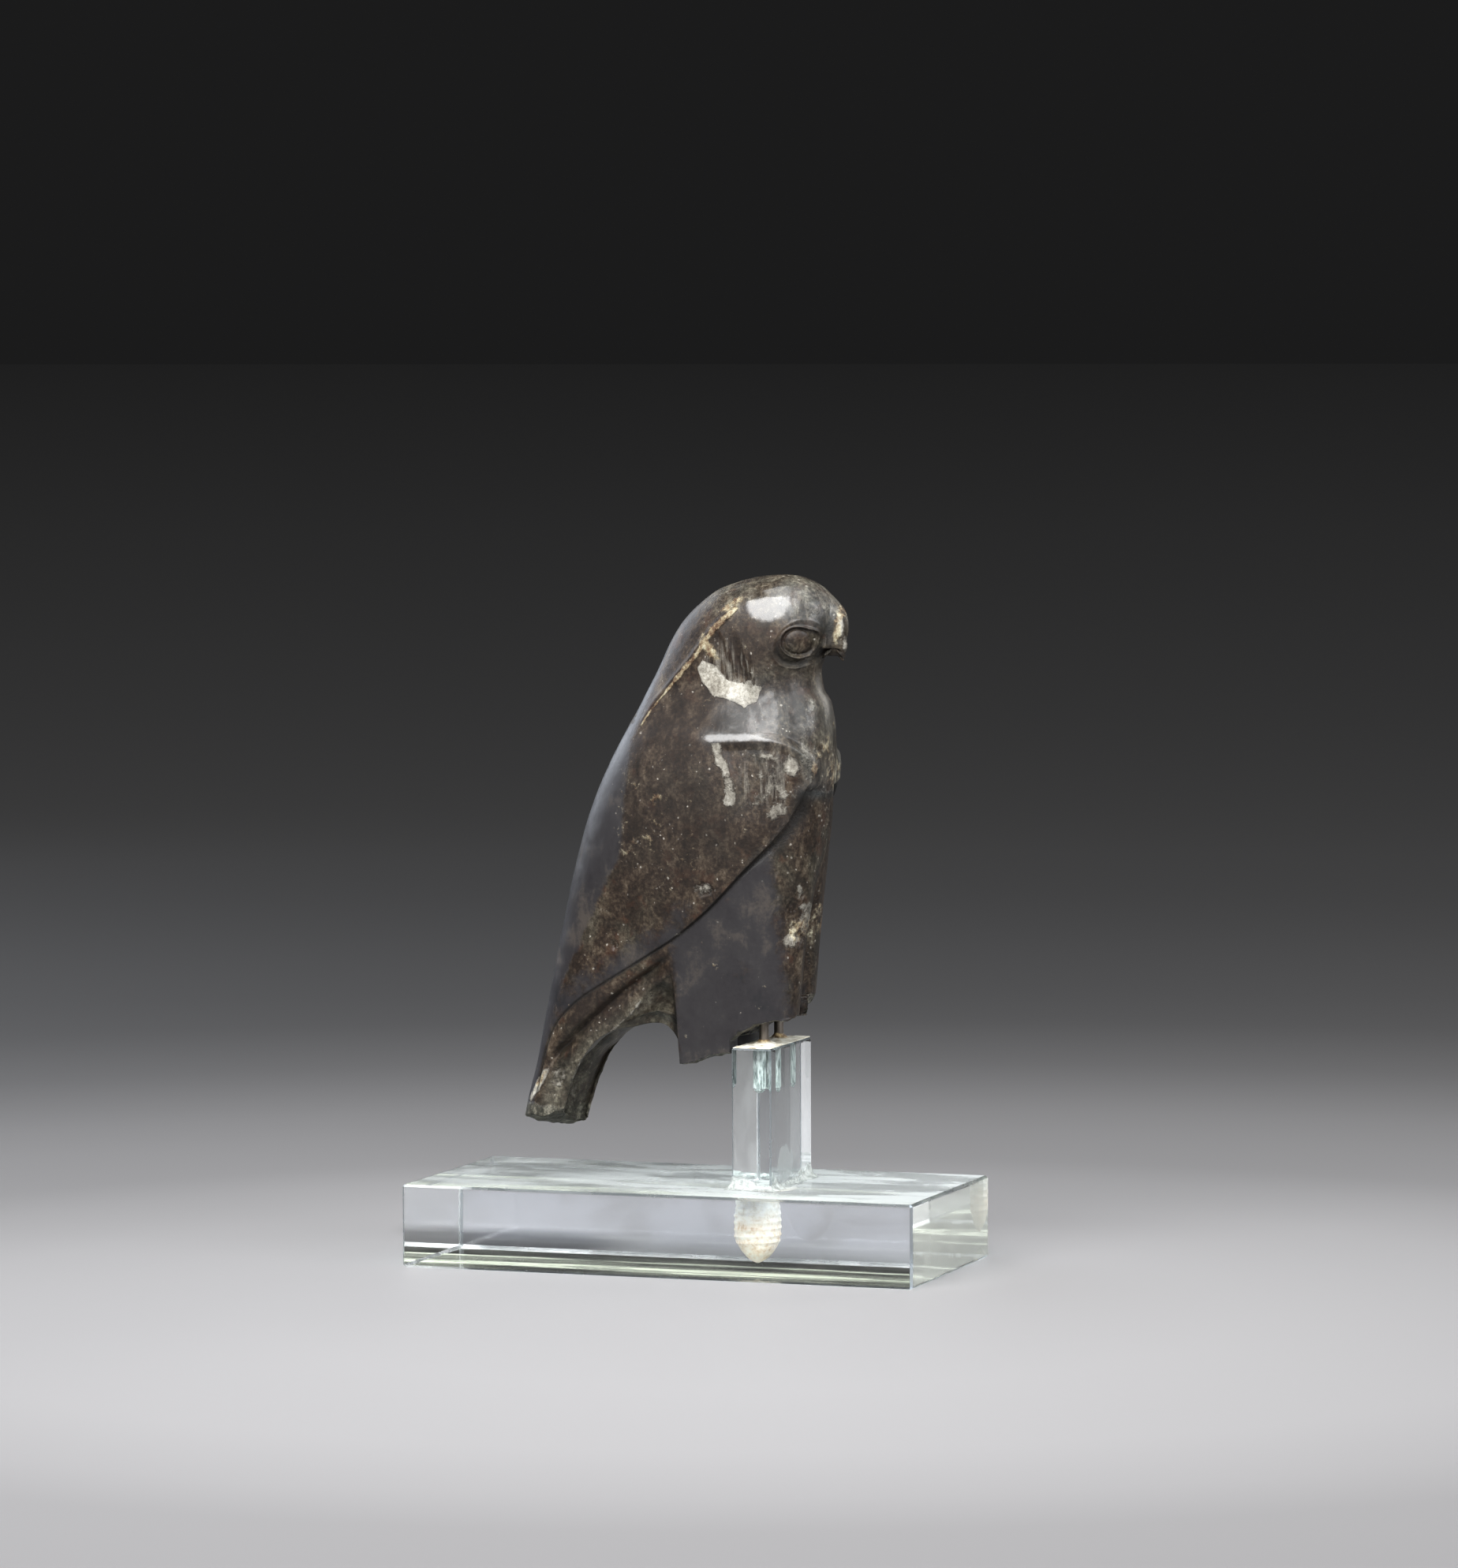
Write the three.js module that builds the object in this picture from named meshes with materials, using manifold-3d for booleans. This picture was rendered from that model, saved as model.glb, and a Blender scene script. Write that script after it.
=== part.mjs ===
// A small falcon carved from one piece of dark stone, broken through its legs and its tail.
// Two metal pins hold it over a post and a base of clear acrylic.
// Millimetres. X runs forward, the way the beak points, Y to the falcon's left, Z up.
// The origin is the middle of the base's underside.
import * as THREE from "three";
import { mergeVertices } from "three/addons/utils/BufferGeometryUtils.js";
import Module from "manifold-3d";

const wasm = await Module();
wasm.setup();

// The stand: two sawn and polished blocks, the post standing nearer the base's front end.
const base = { length: 97, depth: 45, thickness: 15, chamfer: 0.4 };
const post = { length: 7.5, depth: 22.5, height: 25.5, chamfer: 0.3, fromBackEnd: 59.3 };

// The pins: blind holes in the post and in the stone take them, with a gap all round.
const pin = { diameter: 1.7, spacing: 8.1, inPost: 7.8, aboveTop: 14 };
const pinGap = 0.3;
// Where a leg reaches down beside the post, its broken face keeps this far from it.
const legGap = 1.05;

// The falcon: its carving is given in hundredths of its height, from the middle of the post's top.
const falcon = { height: 100 };
const share = falcon.height / 100;
const crownHeight = 84.6;

// Level sections of the body, from the crown down to the tail's broken end.
// Each row is the depth below the crown, the back's and the breast's place along X,
// the place of the greatest width, the half width there and the squareness of the section.
const sections = [
  [0, 3.2, 3.2, 3.2, 0, 2],
  [1, -4.7, 7.9, 2.5, 4.6, 2],
  [4.1, -10.9, 11.8, 0.5, 8, 2],
  [8.5, -15.7, 13, -1.5, 9.6, 2],
  [12.7, -18.4, 12.1, -2.5, 10.2, 2],
  [16, -19.9, 10.4, -3.5, 10.3, 2.1],
  [20.3, -22.1, 8.9, -4.5, 10.5, 2.1],
  [24, -24.2, 9.9, -5.5, 11.3, 2.2],
  [29.2, -27.3, 10.9, -7, 13, 2.3],
  [35.4, -30.4, 11.4, -8.5, 14, 2.4],
  [43.4, -33.8, 10.9, -9.5, 14.2, 2.4],
  [52.9, -36.6, 9.8, -10.5, 13.4, 2.5],
  [68, -40, 8.2, -10, 11, 3],
  [87, -43.7, 6.4, -8, 8.7, 4],
  [100, -46.8, 6, -8, 7.5, 4.5],
];

// How far the carved layers stand out from those sections, and how deep the sunk places are.
const raised = { wingBack: 0.55, wingFront: 1.4, nape: 0.6 };
const sunk = { tail: 1, wingTips: 0.5, cheek: 0.8, wing: 0.6 };
// The front of the folded wings is also squarer, and stands ahead of the breast.
const wingFront = { ahead: 1.1, square: 0.4 };
const nose = 10.1;

// Edges of the carved layers, seen from the side, as [along X, height] over the post's top.
const wingTop = [[-24, 54], [-15.8, 57.2], [-7.5, 55.7], [2.2, 56.5], [6.2, 55.6], [9.3, 52.9], [nose, 50.5]];
const wingFoot = [[nose, 46], [5.7, 38.2], [-9.1, 23.6], [-22.5, 14.7], [-36.5, 5.1], [-47.5, -17]];
const tipsFoot = [[nose, 40], [-9.1, 20], [-20.9, 12.8], [-30.7, 4.5], [-38, -1.8], [-43, -17]];
const napeEdge = [[-3.8, 78.5], [-10.4, 70.5], [-15.4, 65.8], [-24.3, 53.2], [-30, 44]];
const legBack = [[-15, 18], [-15, 6], [-14, -17]];
const cheekHollow = [[-4.5, 76.5], [-10, 70.3], [-9.4, 65.6], [-6.5, 63.2], [-1.3, 61.2], [1.3, 63.6]];
const wingHollow = [[-5.3, 57.5], [-4.4, 52.5], [-2.4, 47], [-3.1, 41.3], [3, 34], [nose, 44], [7, 57.5]];

// The arch between tail and legs, then the broken undersides of the legs up to the post.
const arch = [[-42, -15.6], [-37.1, -13.8], [-33.7, -4.3], [-29, 0.9], [-22.7, 2], [-17.5, 0.8], [-15, -2.8]];
const legUnderside = [[-13.4, -3.3], [-9.1, -1.9]];
const besidePost = { from: -1.2, to: 1 };
const brokenSlope = [[-3, 3], [0, 4], [5.6, 5.1], [20, 9]];
const leftLegBreak = [[1.5, 3.5], [3.5, 5.9], [5, 6.6], [6.5, 8.6], [20, 12], [20, -5]];
const farBelow = -40;
const sideReach = 40;

// The head's own carving. The hook is the short point at the beak's lower end.
const beak = {
  top: 81,
  lowest: 69.1,
  root: 7.5,
  ridge: 14.8,
  halfWidth: 4.2,
  browHeight: 6,
  browSetBack: 3.2,
  browPinch: 0.4,
  tuck: 0.5,
  hookHeight: 0.9,
  hookLength: 1.4,
  hookPinch: 0.7,
};
const eye = {
  x: 7.7,
  height: 73.2,
  ball: 1.9,
  flat: 0.55,
  sink: 0.3,
  socket: 2.7,
  rim: 3.6,
  cut: 0.42,
  long: 1.12,
};

// The cleft between the legs: a long tapering cut, shallow at the belly.
const cleft = { top: 38, foot: -6, deep: 3.2, wide: 2 };

const stone = new THREE.MeshStandardMaterial({ color: 0x3a302a, roughness: 0.35, metalness: 0 });
const steel = new THREE.MeshStandardMaterial({ color: 0x6b6459, roughness: 0.4, metalness: 1 });
const acrylic = new THREE.MeshStandardMaterial({
  color: 0xe9f3f0,
  roughness: 0.05,
  metalness: 0,
  transparent: true,
  opacity: 0.3,
});

// From 0 at one value to 1 at another, rising or falling, with soft ends.
const ramp = (from, to, at) => THREE.MathUtils.smoothstep((at - from) / (to - from), 0, 1);

// A closed geometry, its equal vertices joined, as a solid that can be cut and added to.
function solidOf(geometry) {
  const bare = geometry.clone();
  bare.deleteAttribute("normal");
  bare.deleteAttribute("uv");
  const merged = mergeVertices(bare, 1e-4);
  const vertProperties = new Float32Array(merged.attributes.position.array);
  const triVerts = new Uint32Array(merged.index.array);
  return new wasm.Manifold(new wasm.Mesh({ numProp: 3, vertProperties, triVerts }));
}

function geometryOf(solid) {
  const mesh = solid.getMesh();
  const geometry = new THREE.BufferGeometry();
  geometry.setAttribute("position", new THREE.BufferAttribute(mesh.vertProperties, 3));
  geometry.setIndex(new THREE.BufferAttribute(mesh.triVerts, 1));
  geometry.computeVertexNormals();
  return geometry;
}

function named(name, geometry, material) {
  const mesh = new THREE.Mesh(geometry, material);
  mesh.name = name;
  return mesh;
}

// A solid through level rings of [x, y, height], from the top one down, closed by two end points.
function loft(rings, top, bottom) {
  const around = rings[0].length;
  const positions = [...rings.flat(), top, bottom].flatMap(([x, y, z]) => [x * share, y * share, z * share]);
  const topIndex = rings.length * around;
  const lastRing = topIndex - around;
  const index = [];
  for (let a = 0; a < around; a += 1) {
    const b = (a + 1) % around;
    index.push(topIndex, a, b, topIndex + 1, lastRing + b, lastRing + a);
    for (let upper = 0; upper < lastRing; upper += around) {
      const lower = upper + around;
      index.push(upper + a, lower + a, lower + b, upper + a, lower + b, upper + b);
    }
  }
  const geometry = new THREE.BufferGeometry();
  geometry.setAttribute("position", new THREE.Float32BufferAttribute(positions, 3));
  geometry.setIndex(index);
  return solidOf(geometry);
}

const scaled = (points) => points.map(([x, z]) => new THREE.Vector2(x * share, z * share));

// A smooth run through a few points, as points close enough together to look round.
const curve = (points) => new THREE.SplineCurve(scaled(points)).getPoints(4 * (points.length - 1));

// An edge and all that lies behind it, level with its two ends.
function behind(edge) {
  const beyondTail = -60 * share;
  const first = new THREE.Vector2(beyondTail, edge[0].y);
  const last = new THREE.Vector2(beyondTail, edge[edge.length - 1].y);
  return [...edge, last, first];
}

// A side view outline carried through the falcon, to beyond its left side.
function prism(outline, fromRight = -sideReach) {
  const depth = (sideReach - fromRight) * share;
  const geometry = new THREE.ExtrudeGeometry(new THREE.Shape(outline), { depth, bevelEnabled: false });
  geometry.rotateX(Math.PI / 2);
  return solidOf(geometry.translate(0, sideReach * share, 0));
}

// A smooth curve through one column of the sections, read at a depth below the crown.
// Near the crown a width grows with the root of the depth, so the curve runs on that root.
function reading(column) {
  const root = sections.map((row) => Math.sqrt(row[0]));
  const value = sections.map((row) => row[column]);
  const last = sections.length - 1;
  const slope = value.map((_, i) => {
    const before = Math.max(i - 1, 0);
    const after = Math.min(i + 1, last);
    return (value[after] - value[before]) / (root[after] - root[before]);
  });
  return (depth) => {
    const at = Math.sqrt(depth);
    const k = Math.max(root.findLastIndex((r, i) => i < last && r <= at), 0);
    const step = root[k + 1] - root[k];
    const t = (at - root[k]) / step;
    const rising = t * t * (3 - 2 * t);
    const pull = slope[k] * (t - 2 * t * t + t * t * t) + slope[k + 1] * (t * t * t - t * t);
    return value[k] + (value[k + 1] - value[k]) * rising + step * pull;
  };
}

const [backAt, breastAt, widestAt, halfWidthAt, squareAt] = [1, 2, 3, 4, 5].map(reading);

// A point of a level section: a superellipse whose front and back halves differ in length.
function sectionPoint(depth, turn, { rise, ahead, square }) {
  const leastHalfWidth = 0.05;
  const along = Math.cos(turn);
  const across = Math.sin(turn);
  const power = 2 / (squareAt(depth) + (along > 0 ? square : 0));
  const middle = widestAt(depth);
  const reach = along > 0 ? breastAt(depth) + ahead - middle : middle - backAt(depth);
  const height = crownHeight - depth;
  const x = middle + reach * Math.sign(along) * Math.abs(along) ** power;
  const half = Math.max(halfWidthAt(depth) + rise(x, height), leastHalfWidth);
  return [x, half * Math.sign(across) * Math.abs(across) ** power, height];
}

// The body's skin, from the crown to the tail's end, moved out or in by a layer's rise.
// The rings crowd together at the crown, where the skin closes.
function skin(rise, { ahead, square } = { ahead: 0, square: 0 }) {
  const rows = 40;
  const around = 40;
  const crowding = 0.3;
  const whole = 100;
  const rings = [];
  for (let row = 1; row <= rows; row += 1) {
    const t = row / rows;
    const depth = (whole * t * t) / (crowding + (1 - crowding) * t);
    const ring = [];
    for (let a = 0; a < around; a += 1) {
      ring.push(sectionPoint(depth, (2 * Math.PI * a) / around, { rise, ahead, square }));
    }
    rings.push(ring);
  }
  return loft(rings, [widestAt(0), 0, crownHeight], [widestAt(whole), 0, crownHeight - whole]);
}

// One carved layer: a skin kept only inside its outline.
const layer = (outline, layerSkin) => layerSkin.intersect(prism(outline));

// What a sunk place loses: all inside its outline that stands out from a skin.
const sunkPlace = (outline, floor) => prism(outline).subtract(floor);

// Wings grow prouder towards the shoulders; the nape's edge dies away over the crown.
const wingRise = (x) => raised.wingBack + (raised.wingFront - raised.wingBack) * ramp(-25, -4, x);
const napeRise = (x, z) => raised.nape * ramp(79, 72, z);

// The sunk front of the wing is deepest along its back edge and runs out forwards and downwards.
const runOut = 0.05;
const wingFloor = (x, z) => wingRise(x) + runOut - sunk.wing * ramp(7, -2, x) * ramp(35, 42, z);

function bodyAndWings() {
  return skin(() => 0)
    .subtract(sunkPlace(behind(curve(legBack)), skin(() => -sunk.tail)))
    .add(layer(behind(curve(tipsFoot)), skin(() => -sunk.wingTips)))
    .add(layer(behind([...curve(wingTop), ...curve(wingFoot)]), skin(wingRise, wingFront)))
    .add(layer(behind(curve(napeEdge)), skin(napeRise)))
    .subtract(sunkPlace(scaled(wingHollow), skin(wingFloor, wingFront)))
    .subtract(sunkPlace(scaled(cheekHollow), skin(() => -sunk.cheek)));
}

// The beak: a narrow wedge on the face, set back at the brow and drawn into a small hook below.
function beakSolid() {
  const around = 16;
  const rows = 14;
  const sharpness = 1.2;
  const rings = [];
  for (let row = 0; row <= rows; row += 1) {
    const t = row / rows;
    const z = THREE.MathUtils.lerp(beak.top, beak.lowest, t);
    const aboveBrow = Math.max(1 - (beak.top - z) / beak.browHeight, 0);
    const hook = ramp(beak.lowest + beak.hookHeight, beak.lowest, z);
    const ridge = beak.ridge - beak.browSetBack * aboveBrow ** 2 - beak.tuck * t * t;
    const root = THREE.MathUtils.lerp(beak.root, ridge - beak.hookLength, hook);
    const half = beak.halfWidth * (1 - beak.browPinch * aboveBrow) * (1 - beak.hookPinch * hook);
    const ring = [];
    for (let a = 0; a < around; a += 1) {
      const turn = (2 * Math.PI * a) / around;
      const along = Math.cos(turn);
      const forward = Math.sign(along) * Math.abs(along) ** sharpness;
      ring.push([root + (ridge - root) * forward, half * Math.sin(turn), z]);
    }
    rings.push(ring);
  }
  const hookEnd = beak.ridge - beak.tuck - beak.hookLength;
  return loft(rings, [beak.root, 0, beak.top], [hookEnd, 0, beak.lowest]);
}

// Half the body's width at a point of its side view.
function halfWidth(x, z) {
  const depth = crownHeight - z;
  const middle = widestAt(depth);
  const reach = x > middle ? breastAt(depth) - middle : middle - backAt(depth);
  const square = squareAt(depth);
  return halfWidthAt(depth) * (1 - (Math.abs(x - middle) / reach) ** square) ** (1 / square);
}

// Lays a geometry that is flat on XY against one side of the body, its Y upwards and its Z outwards.
function setOnSide(geometry, { x, height }, side, sink = 0) {
  const step = 0.2;
  const slopeX = (halfWidth(x + step, height) - halfWidth(x - step, height)) / (2 * step);
  const slopeZ = (halfWidth(x, height + step) - halfWidth(x, height - step)) / (2 * step);
  const outward = new THREE.Vector3(-slopeX, side, -slopeZ).normalize();
  const level = new THREE.Vector3(0, 0, 1).cross(outward).normalize();
  const upward = outward.clone().cross(level);
  const place = new THREE.Vector3(x, side * halfWidth(x, height), height).addScaledVector(outward, -sink);
  const seat = new THREE.Matrix4().makeBasis(level, upward, outward);
  return solidOf(geometry.applyMatrix4(seat.setPosition(place.multiplyScalar(share))));
}

// An eye: two rings cut into the stone round a low ball.
function carveEye(carved, side) {
  const ring = (radius) => {
    const torus = new THREE.TorusGeometry(radius * share, eye.cut * share, 6, 28);
    return setOnSide(torus.scale(eye.long, 1, 1), eye, side);
  };
  const ball = new THREE.SphereGeometry(eye.ball * share, 18, 12).scale(1, 1, eye.flat);
  return carved.subtract(ring(eye.rim)).subtract(ring(eye.socket)).add(setOnSide(ball, eye, side, eye.sink));
}

// The cleft between the legs, cut from the front with a long cone laid against the breast.
function cleftSolid() {
  const tall = cleft.top - cleft.foot;
  const upper = breastAt(crownHeight - cleft.top);
  const lower = breastAt(crownHeight - cleft.foot);
  const cone = new THREE.ConeGeometry(1, tall * share, 12).rotateX(Math.PI / 2);
  cone.scale(cleft.deep * share, cleft.wide * share, 1);
  cone.rotateY(Math.atan2(upper - lower, tall));
  return solidOf(cone.translate(((upper + lower) / 2) * share, 0, ((cleft.top + cleft.foot) / 2) * share));
}

// Everything that is lost below the arch and the broken legs, as one piece to take away.
function lostBelow() {
  const face = -(post.length / 2 + legGap);
  const slope = scaled(brokenSlope);
  const outline = [
    ...curve(arch),
    ...scaled(legUnderside),
    new THREE.Vector2(face, besidePost.from * share),
    new THREE.Vector2(face, besidePost.to * share),
    ...slope,
    new THREE.Vector2(slope[slope.length - 1].x, farBelow * share),
    new THREE.Vector2(arch[0][0] * share, farBelow * share),
  ];
  return prism(outline).add(prism(scaled(leftLegBreak), 0));
}

function rod(diameter, bottom, top) {
  const height = top - bottom;
  const cylinder = new THREE.CylinderGeometry(diameter / 2, diameter / 2, height, 20);
  return cylinder.rotateX(Math.PI / 2).translate(0, 0, bottom + height / 2);
}

const pinPlaces = { right: -pin.spacing / 2, left: pin.spacing / 2 };

// A hole for each pin, wider than the pin by the gap all round and at its end.
function withPinHoles(solid, bottom, top) {
  const drill = (y) => solidOf(rod(pin.diameter + 2 * pinGap, bottom, top).translate(0, y, 0));
  return Object.values(pinPlaces).reduce((left, y) => left.subtract(drill(y)), solid);
}

function falconMesh() {
  const whole = [-1, 1].reduce(carveEye, bodyAndWings().add(beakSolid()));
  const broken = whole.subtract(cleftSolid()).subtract(lostBelow());
  return named("falcon", geometryOf(withPinHoles(broken, -pin.inPost, pin.aboveTop + pinGap)), stone);
}

function pinMesh([side, y]) {
  return named("pin_" + side, rod(pin.diameter, pinGap - pin.inPost, pin.aboveTop).translate(0, y, 0), steel);
}

// A rectangular block with its top on the level z = 0 and every edge taken off by a small flat.
function block({ length, depth, chamfer }, height) {
  const x = length / 2 - chamfer;
  const y = depth / 2 - chamfer;
  const corner = chamfer / 2;
  const outline = new THREE.Shape();
  outline.moveTo(corner - x, -y);
  outline.lineTo(x - corner, -y);
  outline.lineTo(x, corner - y);
  outline.lineTo(x, y - corner);
  outline.lineTo(x - corner, y);
  outline.lineTo(corner - x, y);
  outline.lineTo(-x, y - corner);
  outline.lineTo(-x, corner - y);
  const geometry = new THREE.ExtrudeGeometry(outline, {
    depth: height - 2 * chamfer,
    bevelSize: chamfer,
    bevelThickness: chamfer,
    bevelSegments: 1,
  });
  return geometry.translate(0, 0, chamfer - height);
}

function standBaseMesh() {
  return named("stand_base", block(base, base.thickness).translate(0, 0, base.thickness), acrylic);
}

function standPostMesh() {
  const drilled = withPinHoles(solidOf(block(post, post.height)), -pin.inPost, pinGap);
  return named("stand_post", geometryOf(drilled), acrylic);
}

const onPostTop = new THREE.Group();
const postMiddle = post.fromBackEnd + post.length / 2 - base.length / 2;
onPostTop.position.set(postMiddle, 0, base.thickness + post.height);
onPostTop.add(standPostMesh(), falconMesh(), ...Object.entries(pinPlaces).map(pinMesh));

const figure = new THREE.Group();
figure.add(standBaseMesh(), onPostTop);

export default figure;
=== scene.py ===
import bpy
import numpy as np
from mathutils import Matrix, Vector


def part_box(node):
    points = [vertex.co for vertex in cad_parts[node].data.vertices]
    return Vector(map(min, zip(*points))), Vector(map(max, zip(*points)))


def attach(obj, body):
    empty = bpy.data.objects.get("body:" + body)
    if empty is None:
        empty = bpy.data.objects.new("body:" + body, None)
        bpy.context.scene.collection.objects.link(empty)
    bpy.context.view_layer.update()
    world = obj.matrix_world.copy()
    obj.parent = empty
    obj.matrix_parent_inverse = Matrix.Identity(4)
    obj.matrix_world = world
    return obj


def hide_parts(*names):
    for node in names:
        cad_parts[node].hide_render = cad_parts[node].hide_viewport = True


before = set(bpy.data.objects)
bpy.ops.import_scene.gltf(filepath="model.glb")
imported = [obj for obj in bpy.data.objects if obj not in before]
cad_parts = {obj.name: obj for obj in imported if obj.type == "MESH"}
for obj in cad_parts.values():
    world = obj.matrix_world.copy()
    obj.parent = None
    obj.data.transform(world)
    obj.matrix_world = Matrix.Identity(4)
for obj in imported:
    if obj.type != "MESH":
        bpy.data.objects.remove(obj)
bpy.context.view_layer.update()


# The falcon is one piece of close-grained dark stone, carved, rubbed smooth and polished.
# It is broken through both legs and across the tail, and chipped and worn on the right wing.
# Its lengths are hundredths of its height, from the middle of the post's top, X forward.
post_low, post_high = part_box("stand_post")
falcon_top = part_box("falcon")[1].z
seat = np.array([(post_low.x + post_high.x) / 2, (post_low.y + post_high.y) / 2, post_high.z])
crown_height = 84.6
share = (falcon_top - seat[2]) / crown_height

# Level sections: depth below the crown, back, breast, place of the greatest width, half width, squareness.
sections = np.array([
    [0, 3.2, 3.2, 3.2, 0, 2],
    [1, -4.7, 7.9, 2.5, 4.6, 2],
    [4.1, -10.9, 11.8, 0.5, 8, 2],
    [8.5, -15.7, 13, -1.5, 9.6, 2],
    [12.7, -18.4, 11.9, -2.5, 10.2, 2],
    [16, -19.9, 9.5, -3.5, 10.3, 2.1],
    [20.3, -22.1, 9.7, -4.5, 10.5, 2.1],
    [24, -24.2, 11.1, -5.5, 11.3, 2.2],
    [29.2, -27.3, 11.7, -7, 13, 2.3],
    [35.4, -30.4, 11.6, -8.5, 14, 2.4],
    [43.4, -33.8, 10.9, -9.5, 14.2, 2.4],
    [52.9, -36.6, 9.8, -10.5, 13.4, 2.5],
    [68, -40, 8.2, -10, 11, 3],
    [87, -43.7, 6.4, -8, 8.7, 4],
    [100, -46.8, 6, -8, 7.5, 4.5],
])


def reading(column, depth):
    """A smooth curve through one column of the sections, a cubic on the square root of the depth."""
    root = np.sqrt(sections[:, 0])
    value = sections[:, column]
    last = len(root) - 1
    before = np.maximum(np.arange(last + 1) - 1, 0)
    after = np.minimum(np.arange(last + 1) + 1, last)
    slope = (value[after] - value[before]) / (root[after] - root[before])
    at = np.sqrt(depth)
    k = np.clip(np.searchsorted(root, at, side="right") - 1, 0, last - 1)
    step = root[k + 1] - root[k]
    t = (at - root[k]) / step
    pull = slope[k] * (t - 2 * t**2 + t**3) + slope[k + 1] * (t**3 - t**2)
    return value[k] + (value[k + 1] - value[k]) * t * t * (3 - 2 * t) + step * pull


def body_rings(rows, around):
    """Level superellipses whose front and back halves differ in length, crowded together at the crown."""
    t = np.linspace(1 / rows, 1, rows)
    depth = (100 * t * t / (0.3 + 0.7 * t))[:, None]
    turn = np.linspace(0, 2 * np.pi, around, endpoint=False)[None, :]
    along, across = np.cos(turn), np.sin(turn)
    power = 2 / reading(5, depth)
    middle = reading(3, depth)
    reach = np.where(along > 0, reading(2, depth) - middle, middle - reading(1, depth))
    x = middle + reach * np.sign(along) * np.abs(along) ** power
    y = reading(4, depth) * np.sign(across) * np.abs(across) ** power
    return np.stack([x, y, np.broadcast_to(crown_height - depth, x.shape)], axis=-1)


def ramp(low, high, at):
    """From 0 at one value to 1 at another, rising or falling, with soft ends."""
    t = np.clip((at - low) / (high - low), 0, 1)
    return t * t * (3 - 2 * t)


def beak_rings(rows, around):
    """Level pointed ovals on the face, set back at the brow and drawn in to a short hook at the lower end."""
    top, lowest = 81.6, 68.95
    t = np.linspace(0, 1, rows)[:, None]
    z = top + (lowest - top) * t
    above_brow = np.clip((z - 75.5) / 6.2, 0, 1)
    ridge = 14.8 - 3.9 * above_brow**2.2 - 0.9 * np.clip((74 - z) / 4.4, 0, 1) ** 2
    root = 7.5 + (ridge - 1.9 - 7.5) * ramp(71.1, 70.4, z)
    half = 4.4 * (1 - 0.4 * above_brow) * (1 - 0.7 * ramp(72, lowest, z))
    turn = np.linspace(0, 2 * np.pi, around, endpoint=False)[None, :]
    along = np.cos(turn)
    x = root + (ridge - root) * np.sign(along) * np.abs(along) ** 1.15
    return np.stack([x, half * np.sin(turn), np.broadcast_to(z, x.shape)], axis=-1)


def piece_of(name, points, faces):
    """A piece made of points and the faces between them."""
    mesh = bpy.data.meshes.new(name)
    mesh.from_pydata(points.reshape(-1, 3).tolist(), [], faces)
    piece = bpy.data.objects.new(name, mesh)
    bpy.context.scene.collection.objects.link(piece)
    return piece


def lofted(name, rings, hoop=False):
    """A closed mesh through rings of points, with a face at each end, or as a hoop without ends."""
    index = np.arange(rings.shape[0] * rings.shape[1]).reshape(rings.shape[:2])
    ends = [] if hoop else [index[0].tolist(), index[-1][::-1].tolist()]
    if hoop:
        index = np.vstack([index, index[:1]])
    after = np.roll(index, -1, axis=1)
    sides = np.stack([index[:-1], index[1:], after[1:], after[:-1]], axis=-1).reshape(-1, 4)
    return piece_of(name, rings, sides.tolist() + ends)


def side_prism(name, outline, low=-40, high=40):
    """A side view outline, given as x and z, carried straight through from one y to another."""
    flat = np.asarray(outline, float)
    x, z = flat.T
    if np.sum(x * np.roll(z, -1) - z * np.roll(x, -1)) < 0:
        flat = flat[::-1]
    rings = [np.stack([flat[:, 0], np.full(len(flat), y), flat[:, 1]], axis=-1) for y in (low, high)]
    return lofted(name, np.stack(rings))


def through(points, steps=8):
    """A smooth run through a few points: between two points, the cubic that uses their neighbours."""
    p = np.asarray(points, float)
    p = np.vstack([2 * p[0] - p[1], p, 2 * p[-1] - p[-2]])
    t = np.linspace(0, 1, steps, endpoint=False)[None, :, None]
    a, b, c, d = p[:-3, None], p[1:-2, None], p[2:-1, None], p[3:, None]
    run = 0.5 * (2 * b + (c - a) * t + (2 * a - 5 * b + 4 * c - d) * t**2 + (3 * b - a - 3 * c + d) * t**3)
    return np.vstack([run.reshape(-1, p.shape[1]), p[-2]])


def finished(piece):
    """Applies the piece's modifiers to its mesh and clears them."""
    shape = piece.evaluated_get(bpy.context.evaluated_depsgraph_get())
    mesh = bpy.data.meshes.new_from_object(shape)
    piece.modifiers.clear()
    piece.data = mesh


def cut(piece, tool, operation="DIFFERENCE"):
    """Takes one closed mesh from another, or adds it, and removes the tool."""
    change = piece.modifiers.new("cut", "BOOLEAN")
    change.operation = operation
    change.solver = "EXACT"
    change.object = tool
    finished(piece)
    bpy.data.objects.remove(tool)


# What is broken away: the arch between tail and legs, the undersides of the legs, the left leg's end.
behind_post = 1.05
post_back = -(post_high.x - post_low.x) / 2 / share - behind_post
arch = through([
    [-42, -15.6], [-37.1, -13.8], [-33.7, -4.3], [-29, 0.9], [-22.7, 2], [-18.8, 0.9], [-16.8, -1.9],
    [-15.3, -3.5],
])
leg_foot = [[-13.4, -3.3], [-9.1, -1.9], [post_back, -1.2], [post_back, 1]]
broken_slope = [[-3, 3], [0, 4], [5.6, 5.1], [20, 9], [20, -40], [-42, -40]]
left_break = [[1.5, 3.5], [3.5, 5.9], [5, 6.6], [6.5, 8.6], [20, 12], [20, -5]]


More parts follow.
